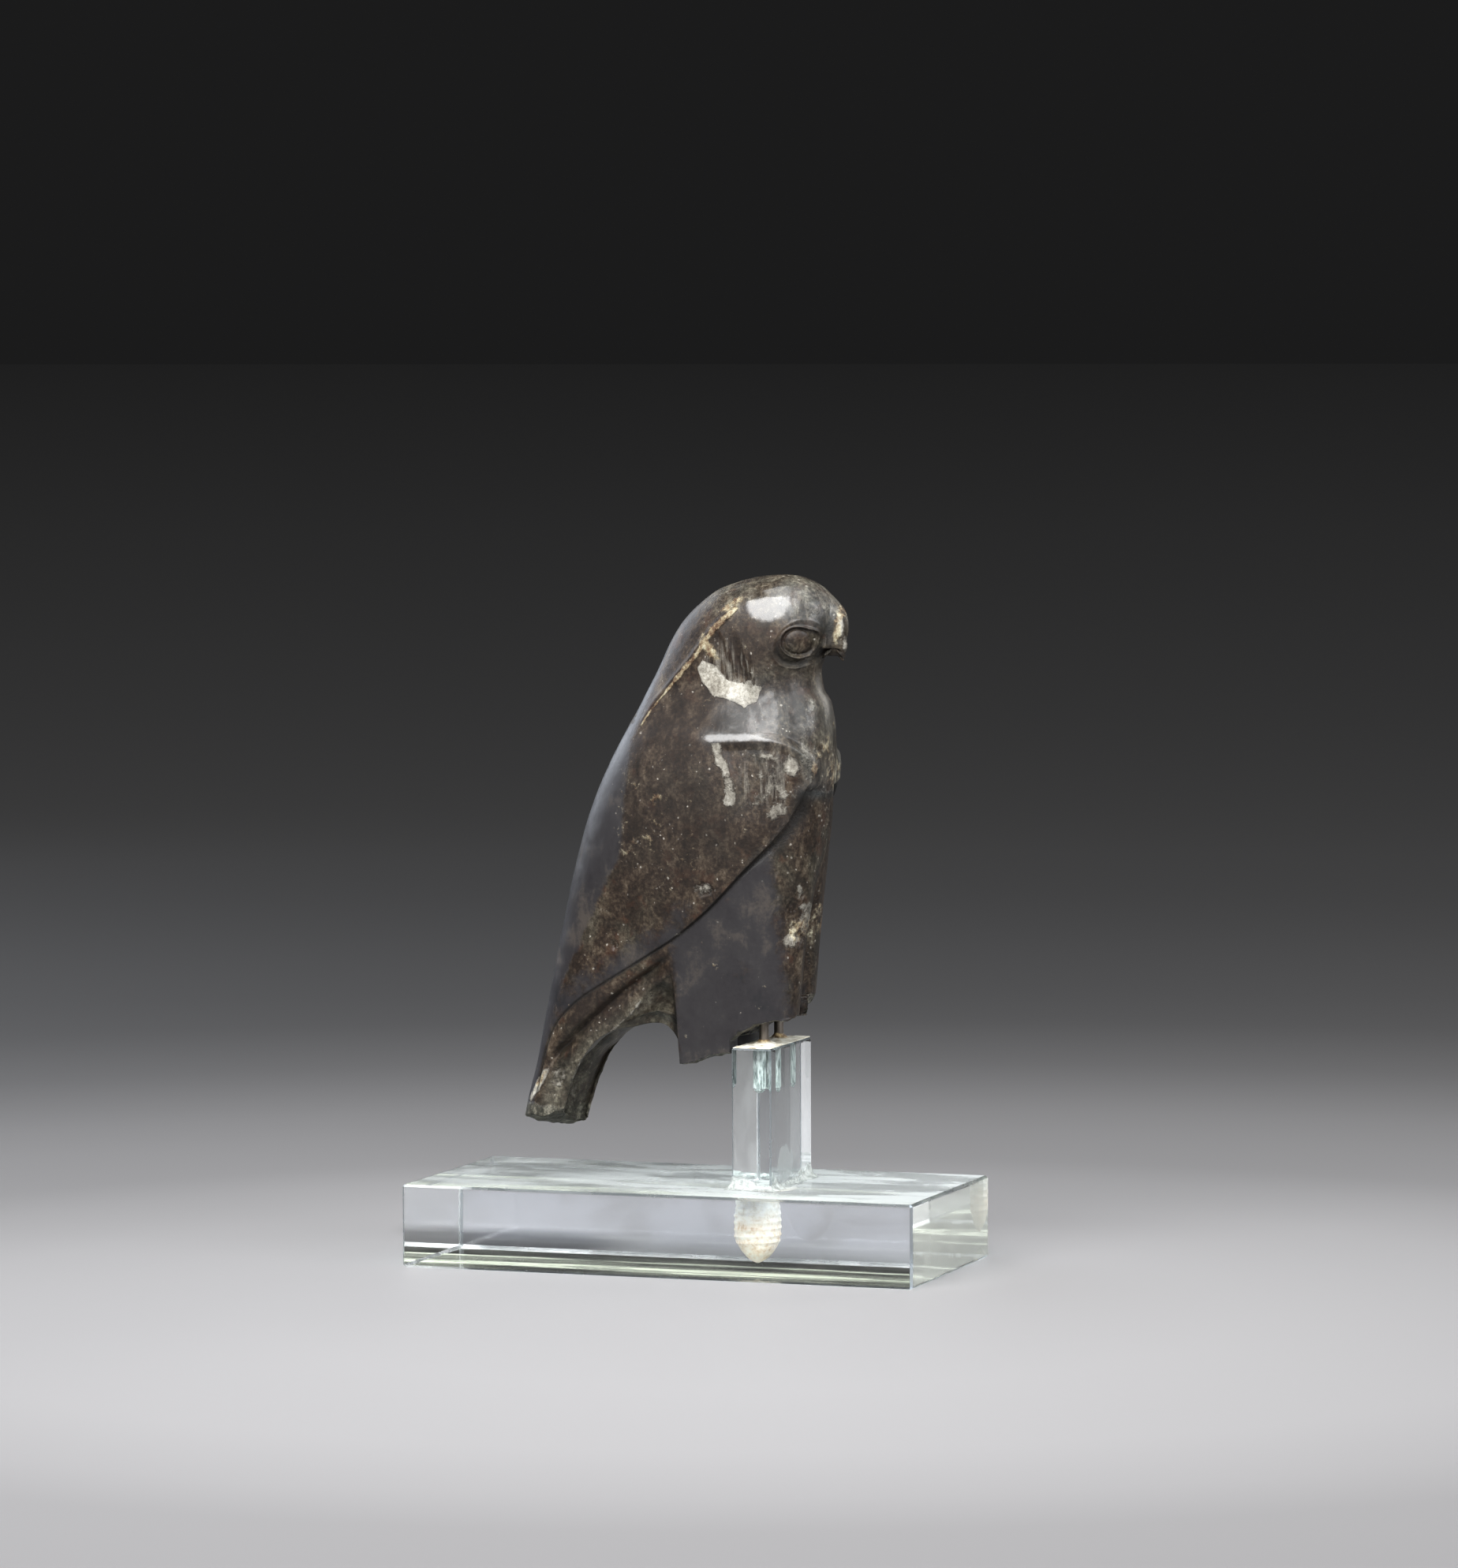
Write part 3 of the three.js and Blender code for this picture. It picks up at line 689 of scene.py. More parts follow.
def stretched(tree, place, scale, turn=(0, 0, 0), shift=(0, 0, 0)):
    """Places turned, scaled and shifted before a texture reads them."""
    return node(tree, "Mapping", {
        "Vector": place, "Scale": scale, "Rotation": turn, "Location": shift,
    }).outputs["Vector"]


def mask(tree, layer):
    """A value kept on the points of the mesh."""
    return node(tree, "Attribute", attribute_name=layer).outputs["Fac"]


def noise(tree, place, scale, detail=4, rough=0.55, warp=0.0):
    """Noise from 0 to 1, its pitch one over the scale, in metres."""
    return node(tree, "TexNoise", {
        "Vector": place, "Scale": scale, "Detail": detail, "Roughness": rough, "Distortion": warp,
    }).outputs["Fac"]


def spread(tree, value, low, high, to_low=0.0, to_high=1.0):
    """The value's range from low to high, laid over another range and held there."""
    return node(tree, "MapRange", {
        "Value": value, "From Min": low, "From Max": high, "To Min": to_low, "To Max": to_high,
    }, interpolation_type="SMOOTHSTEP").outputs["Result"]


def sums(tree, operation, a, b, c=None):
    """One line of arithmetic."""
    inputs = {0: a, 1: b} if c is None else {0: a, 1: b, 2: c}
    return node(tree, "Math", inputs, operation=operation).outputs[0]


def times(tree, a, b, plus=None):
    """One value times another, plus a third if there is one."""
    return sums(tree, "MULTIPLY" if plus is None else "MULTIPLY_ADD", a, b, plus)


def higher(tree, a, b):
    """The higher of two values."""
    return sums(tree, "MAXIMUM", a, b)


def blend(tree, factor, a, b):
    """From one colour to another."""
    return node(tree, "Mix", {0: factor, 6: a, 7: b}, data_type="RGBA").outputs[2]


def tones(tree, value, stops):
    """A colour ramp from a list of places and colours."""
    made = node(tree, "ValToRGB", {"Fac": value})
    elements = made.color_ramp.elements
    while len(elements) < len(stops):
        elements.new(0.5)
    for element, (at, colour) in zip(elements, stops):
        element.position = at
        element.color = (*colour, 1)
    return made.outputs["Color"]


def bump(tree, strength, distance, height):
    """The normal of a surface that stands out by a height from 0 to 1 times a distance."""
    return node(tree, "Bump", {
        "Strength": strength, "Distance": distance, "Height": height,
    }).outputs["Normal"]


# A worn edge: a mask whose edge is broken up by two sizes of noise.
worn_edge, given, end = group("worn_edge", [
    ("Vector", "Vector", None), ("Mask", "Float", 0),
    ("Raggedness", "Float", 0.5), ("Softness", "Float", 0.1),
], [("Mask", "Float")])
coarse = noise(worn_edge, given["Vector"], 260, 3)
ragged = sums(worn_edge, "ADD", noise(worn_edge, given["Vector"], 800, 6, 0.65), coarse)
ragged = times(worn_edge, sums(worn_edge, "SUBTRACT", ragged, 1), given["Raggedness"], given["Mask"])
low = sums(worn_edge, "SUBTRACT", 0.5, given["Softness"])
high = sums(worn_edge, "ADD", 0.5, given["Softness"])
fed(worn_edge, end, {"Mask": spread(worn_edge, ragged, low, high)})

# Specks: small round spots of mixed size, scattered unevenly.
specks, given, end = group("specks", [
    ("Vector", "Vector", None), ("Scale", "Float", 900), ("Share", "Float", 0.2),
], [("Mask", "Float")])
cells = node(specks, "TexVoronoi", {
    "Vector": given["Vector"], "Scale": given["Scale"], "Randomness": 1,
}).outputs
chance = node(specks, "SeparateColor", {"Color": cells["Color"]}).outputs["Red"]
size = spread(specks, chance, sums(specks, "SUBTRACT", 1, given["Share"]), 1, 0, 0.42)
edge = sums(specks, "SUBTRACT", size, cells["Distance"])
fed(specks, end, {"Mask": spread(specks, edge, 0, 0.12)})

stone, tree, shader = material(
    "polished_stone", Coat_Roughness=0.13, Coat_IOR=1.6, Specular_IOR_Level=0.13, IOR=1.6,
)
place = object_place(tree)
state = {layer: mask(tree, layer) for layer in masks}


def edged(layer, raggedness, softness=0.1):
    """One of the stone's masks with a worn edge."""
    return use(tree, worn_edge, {
        "Vector": place, "Mask": state[layer], "Raggedness": raggedness, "Softness": softness,
    })


drift = noise(tree, place, 90, 3, 0.5, 0.4)
mottle = noise(tree, stretched(tree, place, (1, 1, 0.6)), 330, 7, 0.68, 0.5)
grain = noise(tree, place, 1500, 4, 0.7)
fine = noise(tree, place, 4200, 2, 0.6)
mixed = times(tree, grain, 0.42, times(tree, mottle, 0.58))

# the brown body of the stone, with olive and rusty drifts and dark umber where it is deepest
brown = tones(tree, mixed, [
    (0.38, (0.006, 0.0042, 0.0032)), (0.46, (0.0108, 0.0073, 0.0052)), (0.51, (0.019, 0.013, 0.009)),
    (0.56, (0.033, 0.024, 0.016)), (0.62, (0.058, 0.045, 0.032)), (0.72, (0.135, 0.113, 0.085)),
])
olive = tones(tree, mixed, [
    (0.38, (0.006, 0.006, 0.0045)), (0.5, (0.0165, 0.016, 0.0115)), (0.66, (0.055, 0.053, 0.04)),
])
rust = blend(tree, mixed, (0.008, 0.003, 0.002, 1), (0.048, 0.022, 0.012, 1))
umber = tones(tree, mixed, [
    (0.38, (0.004, 0.0024, 0.0016)), (0.5, (0.0095, 0.006, 0.004)), (0.66, (0.03, 0.021, 0.0145)),
])
brown = blend(tree, spread(tree, drift, 0.47, 0.64, 0, 0.5), brown, olive)
brown = blend(tree, spread(tree, noise(tree, place, 240, 5, 0.6), 0.56, 0.66, 0, 0.5), brown, rust)
brown = blend(tree, times(tree, state["deep"], spread(tree, drift, 0.36, 0.6, 0.5, 0.95)), brown, umber)

# dust on it, and the smooth grey of the back and legs
dust = tones(tree, mixed, [
    (0.38, (0.014, 0.0125, 0.0095)), (0.5, (0.05, 0.045, 0.034)), (0.64, (0.15, 0.14, 0.108)),
])
dusty = times(tree, state["dusty"], spread(tree, noise(tree, place, 420, 5, 0.6), 0.36, 0.62, 0.15, 0.8))
cloudy = times(tree, grain, 0.15, times(tree, mottle, 0.3, times(tree, drift, 0.55)))
grey = tones(tree, cloudy, [
    (0.36, (0.0072, 0.0078, 0.0088)), (0.45, (0.0125, 0.0114, 0.0124)),
    (0.54, (0.0158, 0.0148, 0.0155)), (0.62, (0.034, 0.029, 0.0255)),
])
smooth = edged("smooth", 1.1, 0.35)
colour = blend(tree, smooth, blend(tree, dusty, brown, dust), grey)

# pale specks, fewer on the smooth stone
jitter = node(tree, "TexNoise", {"Vector": place, "Scale": 1500}).outputs["Color"]
warped = node(tree, "VectorMath", {
    0: jitter, 1: (0.0005, 0.0005, 0.0005), 2: place,
}, operation="MULTIPLY_ADD").outputs["Vector"]
speck = use(tree, specks, {"Vector": warped, "Scale": 1700, "Share": 0.13})
open_stone = times(tree, state["smooth"], -0.11, mottle)
speck = times(tree, speck, spread(tree, open_stone, 0.44, 0.58, 0, 0.5))
colour = blend(tree, speck, colour, (0.30, 0.28, 0.245, 1))

# cream patches and steep strokes where the polish has gone, with the painted highlights on the tail's edges
comb = noise(tree, stretched(tree, place, (1, 1, 0.12), turn=(0, np.radians(-14), 0)), 1100, 3, 0.6)
stroke = times(tree, spread(tree, comb, 0.47, 0.66), state["strokes"])
pale_wear_and_painted_highlight = higher(tree, edged("pale_wear_and_painted_highlight", 1.25, 0.12), times(tree, stroke, 0.75))
cream = tones(tree, mixed, [
    (0.38, (0.07, 0.062, 0.05)), (0.5, (0.17, 0.159, 0.134)), (0.62, (0.3, 0.292, 0.258)),
])
cream = blend(tree, spread(tree, state["pale_wear_and_painted_highlight"], 0.5, 0.95), blend(tree, 0.5, cream, brown), cream)
colour = blend(tree, pale_wear_and_painted_highlight, colour, cream)

# yellow stains with the orange edge of a painted highlight, broken faces, and painted shade in the carved
# lines and hollows
ochre_and_painted_glint = edged("ochre_and_painted_glint", 1.3, 0.16)
yellow = tones(tree, mixed, [
    (0.38, (0.03, 0.014, 0.008)), (0.45, (0.085, 0.053, 0.03)),
    (0.52, (0.195, 0.16, 0.1)), (0.62, (0.34, 0.32, 0.235)),
])
colour = blend(tree, times(tree, ochre_and_painted_glint, 0.9), colour, yellow)
fracture = edged("fracture", 0.5)
broken = tones(tree, mixed, [
    (0.40, (0.008, 0.008, 0.006)), (0.5, (0.03, 0.0285, 0.021)), (0.62, (0.14, 0.132, 0.105)),
])
colour = blend(tree, times(tree, fracture, 0.85), colour, broken)
# painted shade: nearly black in the carved lines, the hollows and the cleft
colour = blend(tree, times(tree, state["painted_shade_in_hollows"], 0.9), colour, (0.0035, 0.003, 0.0025, 1))

# the shine: glossy in a few places, hazed in others, dull where the polish has gone and where shade is
# painted
dull = higher(tree, higher(tree, pale_wear_and_painted_highlight, ochre_and_painted_glint), higher(tree, fracture, state["painted_shade_in_hollows"]))
gloss = edged("gloss", 0.6, 0.2)
rough = times(tree, grain, 0.3, 0.26)
for worn, change in ((smooth, -0.04), (state["deep"], 0.28), (gloss, -0.2), (dull, 0.2)):
    rough = times(tree, worn, change, rough)
hazed = sums(tree, "SUBTRACT", mottle, times(tree, stroke, 0.15))
patchy_satin_and_painted_sheen = times(tree, state["satin_and_painted_sheen"], spread(tree, hazed, 0.38, 0.6, 0.1, 0.31))
coat = higher(tree, times(tree, gloss, 0.58), times(tree, smooth, 0.08, patchy_satin_and_painted_sheen))
relief = times(tree, fine, 0.3, times(tree, grain, 0.7, mottle))
relief_depth = times(tree, dull, 0.7, times(tree, higher(tree, smooth, gloss), -0.2, 0.26))
fed(tree, shader, {
    # a painted sheen: the satin patches are coloured blue-grey, as a reflection of the light
    "Base Color": blend(tree, times(tree, patchy_satin_and_painted_sheen, 0.5), colour, (0.12, 0.15, 0.16, 1)),
    "Roughness": higher(tree, rough, 0.07),
    "Coat Weight": times(tree, coat, times(tree, state["painted_shade_in_hollows"], -1, 1)),
    "Normal": bump(tree, 1, 0.00026, times(tree, relief, relief_depth)),
})
mesh.materials.append(stone)
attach(falcon, "root")
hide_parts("falcon")


# The two pins are drawn metal rods, dull and dark, one in each leg.
# They stand in blind holes in the post and carry the falcon.
steel, tree, shader = material("dull_rod", Base_Color=(0.16, 0.14, 0.12, 1), Metallic=1, Roughness=0.45)
for name in PINS:
    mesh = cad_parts[name].data
    mesh.materials.clear()
    mesh.materials.append(steel)


# The post and the base are sawn from clear acrylic sheet, their faces polished and their edges eased.
# They are handled pieces: fine hairlines, a few longer scratches and the haze of fingers and old glue.
hairlines, given, end = group("hairlines", [
    ("Vector", "Vector", None), ("Density", "Float", 0.4),
], [("Mask", "Float")])
lines = []
for angle, scale in ((0.3, (60, 60, 2600)), (1.25, (45, 1900, 45)), (-0.6, (2300, 80, 80))):
    drawn = stretched(hairlines, given["Vector"], scale, turn=(angle, angle / 2, angle))
    lines.append(noise(hairlines, drawn, 1, 2, 0.4))
thinnest = higher(hairlines, higher(hairlines, lines[0], lines[1]), lines[2])
patch = noise(hairlines, given["Vector"], 190, 2)
threshold = times(hairlines, given["Density"], -0.2, 0.86)
marks = spread(hairlines, thinnest, threshold, sums(hairlines, "ADD", threshold, 0.04))
fed(hairlines, end, {"Mask": times(hairlines, marks, spread(hairlines, patch, 0.5, 0.6))})


def clear_sheet(name, least, most, ground=0.0, colour=(0.94, 0.968, 0.99)):
    """Clear acrylic whose haze, as roughness, runs from least to most; ground is its unpolished share."""
    made, tree, shader = material(name, Base_Color=(*colour, 1), IOR=1.49, Transmission_Weight=1 - ground)
    place = object_place(tree)
    scratched = use(tree, hairlines, {"Vector": place, "Density": 0.5})
    haze = spread(tree, noise(tree, place, 85, 4, 0.6), 0.42, 0.68, least, most)
    dents = times(tree, noise(tree, place, 140, 2), 0.25, times(tree, scratched, -0.06))
    fed(tree, shader, {
        "Roughness": times(tree, scratched, 0.2, haze), "Normal": bump(tree, 0.05, 0.0004, dents),
    })
    ray = node(tree, "LightPath").outputs["Is Shadow Ray"]
    clear = node(tree, "BsdfTransparent", {"Color": (0.9, 0.94, 0.93, 1)})
    mix = node(tree, "MixShader", {0: ray, 1: shader.outputs[0], 2: clear.outputs[0]})
    fed(tree, tree.nodes["Material Output"], {"Surface": mix.outputs[0]})
    return made


eased_edge = clear_sheet("eased_edge", 0.2, 0.4, 0.2, (0.21, 0.235, 0.25))
for name, sheet in (
    ("stand_post", clear_sheet("handled_acrylic", 0.01, 0.06, 0.0, (0.87, 0.9, 0.915))),
    ("stand_base", clear_sheet("clear_acrylic", 0.012, 0.05)),
):
    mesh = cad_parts[name].data
    mesh.materials.clear()
    mesh.materials.append(sheet)
    mesh.materials.append(eased_edge)
    facing = np.empty(len(mesh.polygons) * 3, np.float32)
    mesh.polygons.foreach_get("normal", facing)
    slanted = np.abs(facing.reshape(-1, 3)).max(axis=1) < 0.95
    mesh.polygons.foreach_set("material_index", slanted.astype(np.int32))


# The blind holes for the pins are drilled and left rough, so their walls show white through the post.
# Each is a thin frosted sleeve with a rounded end, set just outside the hole's wall.
def turned(name, middle, radius, height):
    """A surface turned round an upright axis, from rows of radii, one per bearing, and their heights."""
    bearing = np.linspace(0, 2 * np.pi, radius.shape[1], endpoint=False)
    x = middle[0] + radius * np.cos(bearing)
    y = middle[1] + radius * np.sin(bearing)
    piece = lofted(name, np.stack([x, y, np.broadcast_to(height, x.shape)], axis=-1))
    piece.data.shade_smooth()
    return piece


frost, tree, shader = material("drill_frost", Roughness=0.5, Transmission_Weight=0.35, IOR=1.2)
runs = noise(tree, stretched(tree, object_place(tree), (1, 1, 0.18)), 2600, 5, 0.65)
fed(tree, shader, {"Base Color": tones(tree, runs, [
    (0.38, (0.08, 0.105, 0.1)), (0.5, (0.36, 0.44, 0.42)), (0.6, (0.72, 0.79, 0.77)),
])})
pin_gap = 0.0003
sleeve_wall = 0.00005
past_pin = 0.0009
rounded = 0.0012
down = np.linspace(0, 1, 60)[:, None]
for name in PINS:
    pin_low, pin_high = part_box(name)
    middle = ((pin_low.x + pin_high.x) / 2, (pin_low.y + pin_high.y) / 2)
    hole = (pin_high.x - pin_low.x) / 2 + pin_gap + sleeve_wall
    deep = post_high.z - pin_low.z + past_pin
    closing = np.clip((down * deep - (deep - rounded)) / rounded, 0, 1)
    radius = hole * np.sqrt(1 - 0.985 * closing**2) * np.ones((1, 64))
    sleeve = turned("drill_" + name[4:], middle, radius, post_high.z - sleeve_wall - down * deep)
    sleeve.data.materials.append(frost)
    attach(sleeve, "root")


# Old adhesive covers the post's top in a thin yellowed film and is heaped round the pins.
# It was brushed on and dried, with a dull and pitted skin that thins out at the edges.
def ridged(points, size, seed):
    """Folded noise, from 0 in its creases to 1."""
    return 1 - np.abs(bumps(points, size, seed))


def sheet_over(name, low, high, lift, count=(90, 200)):
    """A thin closed sheet over a rectangle, its upper face lifted by a function of x and y, in metres."""
    x, y = np.meshgrid(*(np.linspace(*ends) for ends in zip(low, high, count)), indexing="ij")
    flat = np.stack([x, y, np.zeros_like(x)], axis=-1)
    upper = np.stack([x, y, lift(x, y)], axis=-1)
    index = np.arange(x.size).reshape(x.shape)
    quads = np.stack([index[:-1, :-1], index[1:, :-1], index[1:, 1:], index[:-1, 1:]], axis=-1).reshape(-1, 4)
    rim = np.concatenate([index[:-1, 0], index[-1, :-1], index[:0:-1, -1], index[0, :0:-1]])
    after = np.roll(rim, -1)
    walls = np.stack([rim, after, after + x.size, rim + x.size], axis=-1)[:, ::-1]
    faces = np.concatenate([quads, quads[:, ::-1] + x.size, walls])
    piece = piece_of(name, np.concatenate([upper, flat]), faces.tolist())
    piece.data.shade_smooth()
    return piece


def film_height(x, y):
    """A film of uneven thickness, with a flared collar round each pin."""
    spot = np.stack([x, y, np.zeros_like(x)], axis=-1).reshape(-1, 3) * 1000
    film = (0.10 + 0.09 * bumps(spot, 2.2, seed=51)).reshape(x.shape)
    uneven = 1 + 0.25 * bumps(spot, 1.1, seed=53).reshape(x.shape)
    for name, tall in zip(PINS, (0.9, 1.25)):
        pin_low, pin_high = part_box(name)
        from_pin = np.hypot(x - (pin_low.x + pin_high.x) / 2, y - (pin_low.y + pin_high.y) / 2) * 1000
        film += tall * np.exp(-np.clip(from_pin - 0.8, 0, None) / 0.85) * uneven
    return np.clip(film, 0.03, 1.5) / 1000


inset = 0.0002
glue_low = (post_low.x + inset, post_low.y + inset)
glue_high = (post_high.x - inset, post_high.y - inset)
glue = sheet_over("top_glue", glue_low, glue_high, film_height)
points = coordinates(glue.data)
kept_on(glue.data, "heaped", (points[:, 2] * 1000 - 0.2) / 0.8)
placed(glue.data, points + np.array([0, 0, post_high.z + 0.00002]))
resin, tree, shader = material("dried_adhesive", Roughness=0.45)
place = object_place(tree)
mottle = noise(tree, place, 900, 5, 0.65)
film = tones(tree, mottle, [
    (0.36, (0.24, 0.2, 0.13)), (0.46, (0.47, 0.45, 0.37)), (0.6, (0.66, 0.66, 0.6)),
])
heap = tones(tree, mottle, [
    (0.38, (0.05, 0.028, 0.012)), (0.5, (0.17, 0.11, 0.05)), (0.64, (0.42, 0.33, 0.18)),
])
near_pin = use(tree, worn_edge, {
    "Vector": place, "Mask": mask(tree, "heaped"), "Raggedness": 0.8, "Softness": 0.3,
})
fed(tree, shader, {
    "Base Color": blend(tree, near_pin, film, heap), "Normal": bump(tree, 0.5, 0.0002, mottle),
})
glue.data.materials.append(resin)
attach(glue, "root")


# White cement holds the post down: it has crept up the post's faces in low peaks and out over the base.
# It is a skirt round the foot, thickest in the corner between the two.
base_low, base_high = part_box("stand_base")
around = 900
least = 0.00006
corners = np.array([
    [post_low.x, post_low.y], [post_high.x, post_low.y], [post_high.x, post_high.y],
    [post_low.x, post_high.y], [post_low.x, post_low.y],
])
run = np.concatenate([[0], np.cumsum(np.linalg.norm(np.diff(corners, axis=0), axis=1))])
along = np.linspace(0, run[-1], around, endpoint=False)
wall = np.stack([np.interp(along, run, corners[:, 0]), np.interp(along, run, corners[:, 1])], axis=-1)
centre = (corners[0] + corners[2]) / 2
half = (corners[2] - corners[0]) / 2
outward = np.sign(wall - centre) * (np.abs(wall - centre) > half - 1e-6)
spot = np.column_stack([wall * 1000, np.zeros(around)])
climb = (0.6 + 1.9 * ridged(spot, 6, 61) ** 2 + 0.3 * bumps(spot, 1.6, seed=63)) / 1000
creep = (0.8 + 0.9 * ridged(spot, 4, 65) ** 2 + 0.3 * bumps(spot, 1.2, seed=67)) / 1000
t = np.linspace(0, 1, 14)[:, None]
height = base_high.z + least + np.clip(climb, 0.0003, 0.0035) * (1 - t) ** 1.5
outwards = least + np.clip(creep, 0.0003, 0.0025) * t**2
skirt = np.concatenate([wall + outward * outwards[..., None], height[..., None]], axis=-1)
inner = (wall + outward * 0.00002)[None]
inner_top = np.concatenate([inner, height[:1, :, None]], axis=-1)
inner_foot = np.concatenate([inner, np.full((1, around, 1), base_high.z + least / 2)], axis=-1)
cement = lofted("foot_cement", np.concatenate([inner_top, skirt, inner_foot]), hoop=True)
cement.data.shade_smooth()
chalk, tree, shader = material("white_cement", Roughness=0.6)
place = object_place(tree)
mottle = noise(tree, place, 1100, 5, 0.65)
fed(tree, shader, {
    "Base Color": tones(tree, mottle, [(0.36, (0.17, 0.19, 0.18)), (0.56, (0.38, 0.405, 0.39))]),
    "Alpha": spread(tree, noise(tree, place, 330, 4, 0.6), 0.36, 0.6, 0.2, 0.75),
    "Normal": bump(tree, 0.5, 0.0002, mottle),
})
cement.data.materials.append(chalk)
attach(cement, "root")


# Under the post the base has a tapped hole, filled with white cement and sealed.
# Its thread stands out as fine ridges round the fill, and the drill's point gives it a cone below.
def axis(tree, place, letter):
    """One of a place's three values."""
    return node(tree, "SeparateXYZ", {"Vector": place}).outputs[letter]


thread_pitch = 0.00125
fill_radius = 0.0039
fill_depth = 0.0134
straight = 0.62
bearing = np.linspace(0, 2 * np.pi, 96, endpoint=False)[None, :]
down = np.linspace(0, 1, 300)[:, None]
turns = down * fill_depth / thread_pitch + bearing / (2 * np.pi)
ridge = 0.0002 * (1 - 2 * np.abs(turns % 1 - 0.5)) ** 1.5
taper = np.clip((down - straight) / (1 - straight), 0, 1)
spot = np.stack(np.broadcast_arrays(4.1 * np.cos(bearing), 4.1 * np.sin(bearing), -10.7 * down), axis=-1)
crumbs = (0.12 * bumps(spot.reshape(-1, 3), 1.0, seed=71)).reshape(turns.shape) / 1000
threaded = ramp(0.1, 0.4, down) * ramp(0.86, 0.66, down)
radius = (fill_radius + (0.0003 + ridge) * threaded + 1.4 * crumbs) * np.clip(1 - taper**1.8, 0.02, 1) ** 0.6
fill = turned("tapped_hole_fill", seat, radius, base_high.z - 0.00008 - down * fill_depth)
plaster, tree, shader = material("cream_fill", Roughness=0.7)
place = object_place(tree)
mottle = noise(tree, place, 700, 5, 0.7)
white = tones(tree, mottle, [
    (0.34, (0.42, 0.38, 0.3)), (0.44, (0.55, 0.54, 0.48)), (0.6, (0.62, 0.63, 0.6)),
])
cream = tones(tree, mottle, [
    (0.34, (0.42, 0.3, 0.19)), (0.43, (0.56, 0.46, 0.34)),
    (0.52, (0.62, 0.56, 0.46)), (0.62, (0.64, 0.62, 0.55)),
])
sunk = spread(tree, axis(tree, place, "Z"), base_high.z - 0.0035, base_high.z - 0.0075)
fed(tree, shader, {"Base Color": blend(tree, sunk, white, cream), "Normal": bump(tree, 0.6, 0.0003, mottle)})
fill.data.materials.append(plaster)
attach(fill, "root")


# The stand has stood for years: a thin bloom of dust and old wiping lies on its faces.
# Each film is a clear plate just off its face, and only its streaks and smears are seen.
def plates(name, boxes):
    """Thin closed boxes in one piece, each between two corners, in metres."""
    unit = np.array([[0, 0, 0], [1, 0, 0], [1, 1, 0], [0, 1, 0], [0, 0, 1], [1, 0, 1], [1, 1, 1], [0, 1, 1]])
    sides = np.array([[0, 3, 2, 1], [4, 5, 6, 7], [0, 1, 5, 4], [1, 2, 6, 5], [2, 3, 7, 6], [3, 0, 4, 7]])
    low, high = np.array(boxes, float).transpose(1, 0, 2)
    points = low[:, None] + unit * (high - low)[:, None]
    faces = sides + 8 * np.arange(len(boxes))[:, None, None]
    piece = piece_of(name, points, faces.reshape(-1, 4).tolist())
    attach(piece, "root")
    return piece


def smeared(piece, scale, bounds, colour):
    """Gives a film its material; its cover runs from 0 to 1 between two bounds of a drawn-out noise."""
    made, tree, shader = material(piece.name, Base_Color=(*colour, 1), Roughness=0.5)
    piece.data.materials.append(made)
    place = object_place(tree)
    cover = spread(tree, noise(tree, stretched(tree, place, scale), 1, 6, 0.6, 0.4), *bounds)
    return tree, shader, place, cover


thin = 0.00001
rim = 0.0006

film = plates("top_bloom", [(
    (base_low.x + rim, base_low.y + rim, base_high.z + thin),
    (base_high.x - rim, base_high.y - rim, base_high.z + 2 * thin),
)])
tree, shader, place, cover = smeared(film, (38, 120, 120), (0.38, 0.62), (0.4, 0.425, 0.425))
rightward = spread(tree, axis(tree, place, "X"), base_low.x, base_high.x, 0.55, 1.25)
fed(tree, shader, {"Alpha": times(tree, rightward, spread(tree, cover, 0, 1, 0.16, 0.5))})

film_foot = 0.0045
film = plates("front_bloom", [(
    (base_low.x + rim, base_low.y - 2 * thin, film_foot),
    (base_high.x - rim, base_low.y - thin, base_high.z - rim),
)])
tree, shader, place, cover = smeared(film, (60, 60, 90), (0.36, 0.66), (0.56, 0.61, 0.72))
rising = spread(tree, axis(tree, place, "Z"), film_foot, 0.008)
fed(tree, shader, {"Alpha": times(tree, rising, spread(tree, cover, 0, 1, 0.015, 0.045))})

film = plates("end_bloom", [(
    (base_high.x + thin, base_low.y + rim, rim),
    (base_high.x + 2 * thin, base_high.y - rim, base_high.z - rim),
)])
tree, shader, place, cover = smeared(film, (90, 90, 130), (0.36, 0.66), (0.48, 0.5, 0.46))
fed(tree, shader, {"Alpha": spread(tree, cover, 0, 1, 0.27, 0.38)})

# the underside shows in the front face by reflection: one broad smear near the front and a thin one behind
film = plates("underside_dust", [(
    (base_low.x + rim, base_low.y + rim, 3 * thin),
    (base_high.x - rim, base_high.y - rim, 4 * thin),
)])
tree, shader, place, cover = smeared(film, (24, 150, 150), (0.36, 0.6), (0.42, 0.44, 0.35))
across = spread(tree, axis(tree, place, "Y"), base_low.y, base_high.y)
across = times(tree, noise(tree, place, 45, 2), 0.12, sums(tree, "SUBTRACT", across, 0.06))
SMEAR = [
    (0.0, 0.05), (0.12, 0.08), (0.17, 0.95), (0.34, 0.8), (0.4, 0.12),
    (0.64, 0.1), (0.67, 0.55), (0.72, 0.5), (0.75, 0.05), (1.0, 0.02),
]
smear = tones(tree, across, [(at, (cover_there,) * 3) for at, cover_there in SMEAR])
fed(tree, shader, {"Alpha": times(tree, smear, spread(tree, cover, 0, 1, 0.15, 1))})

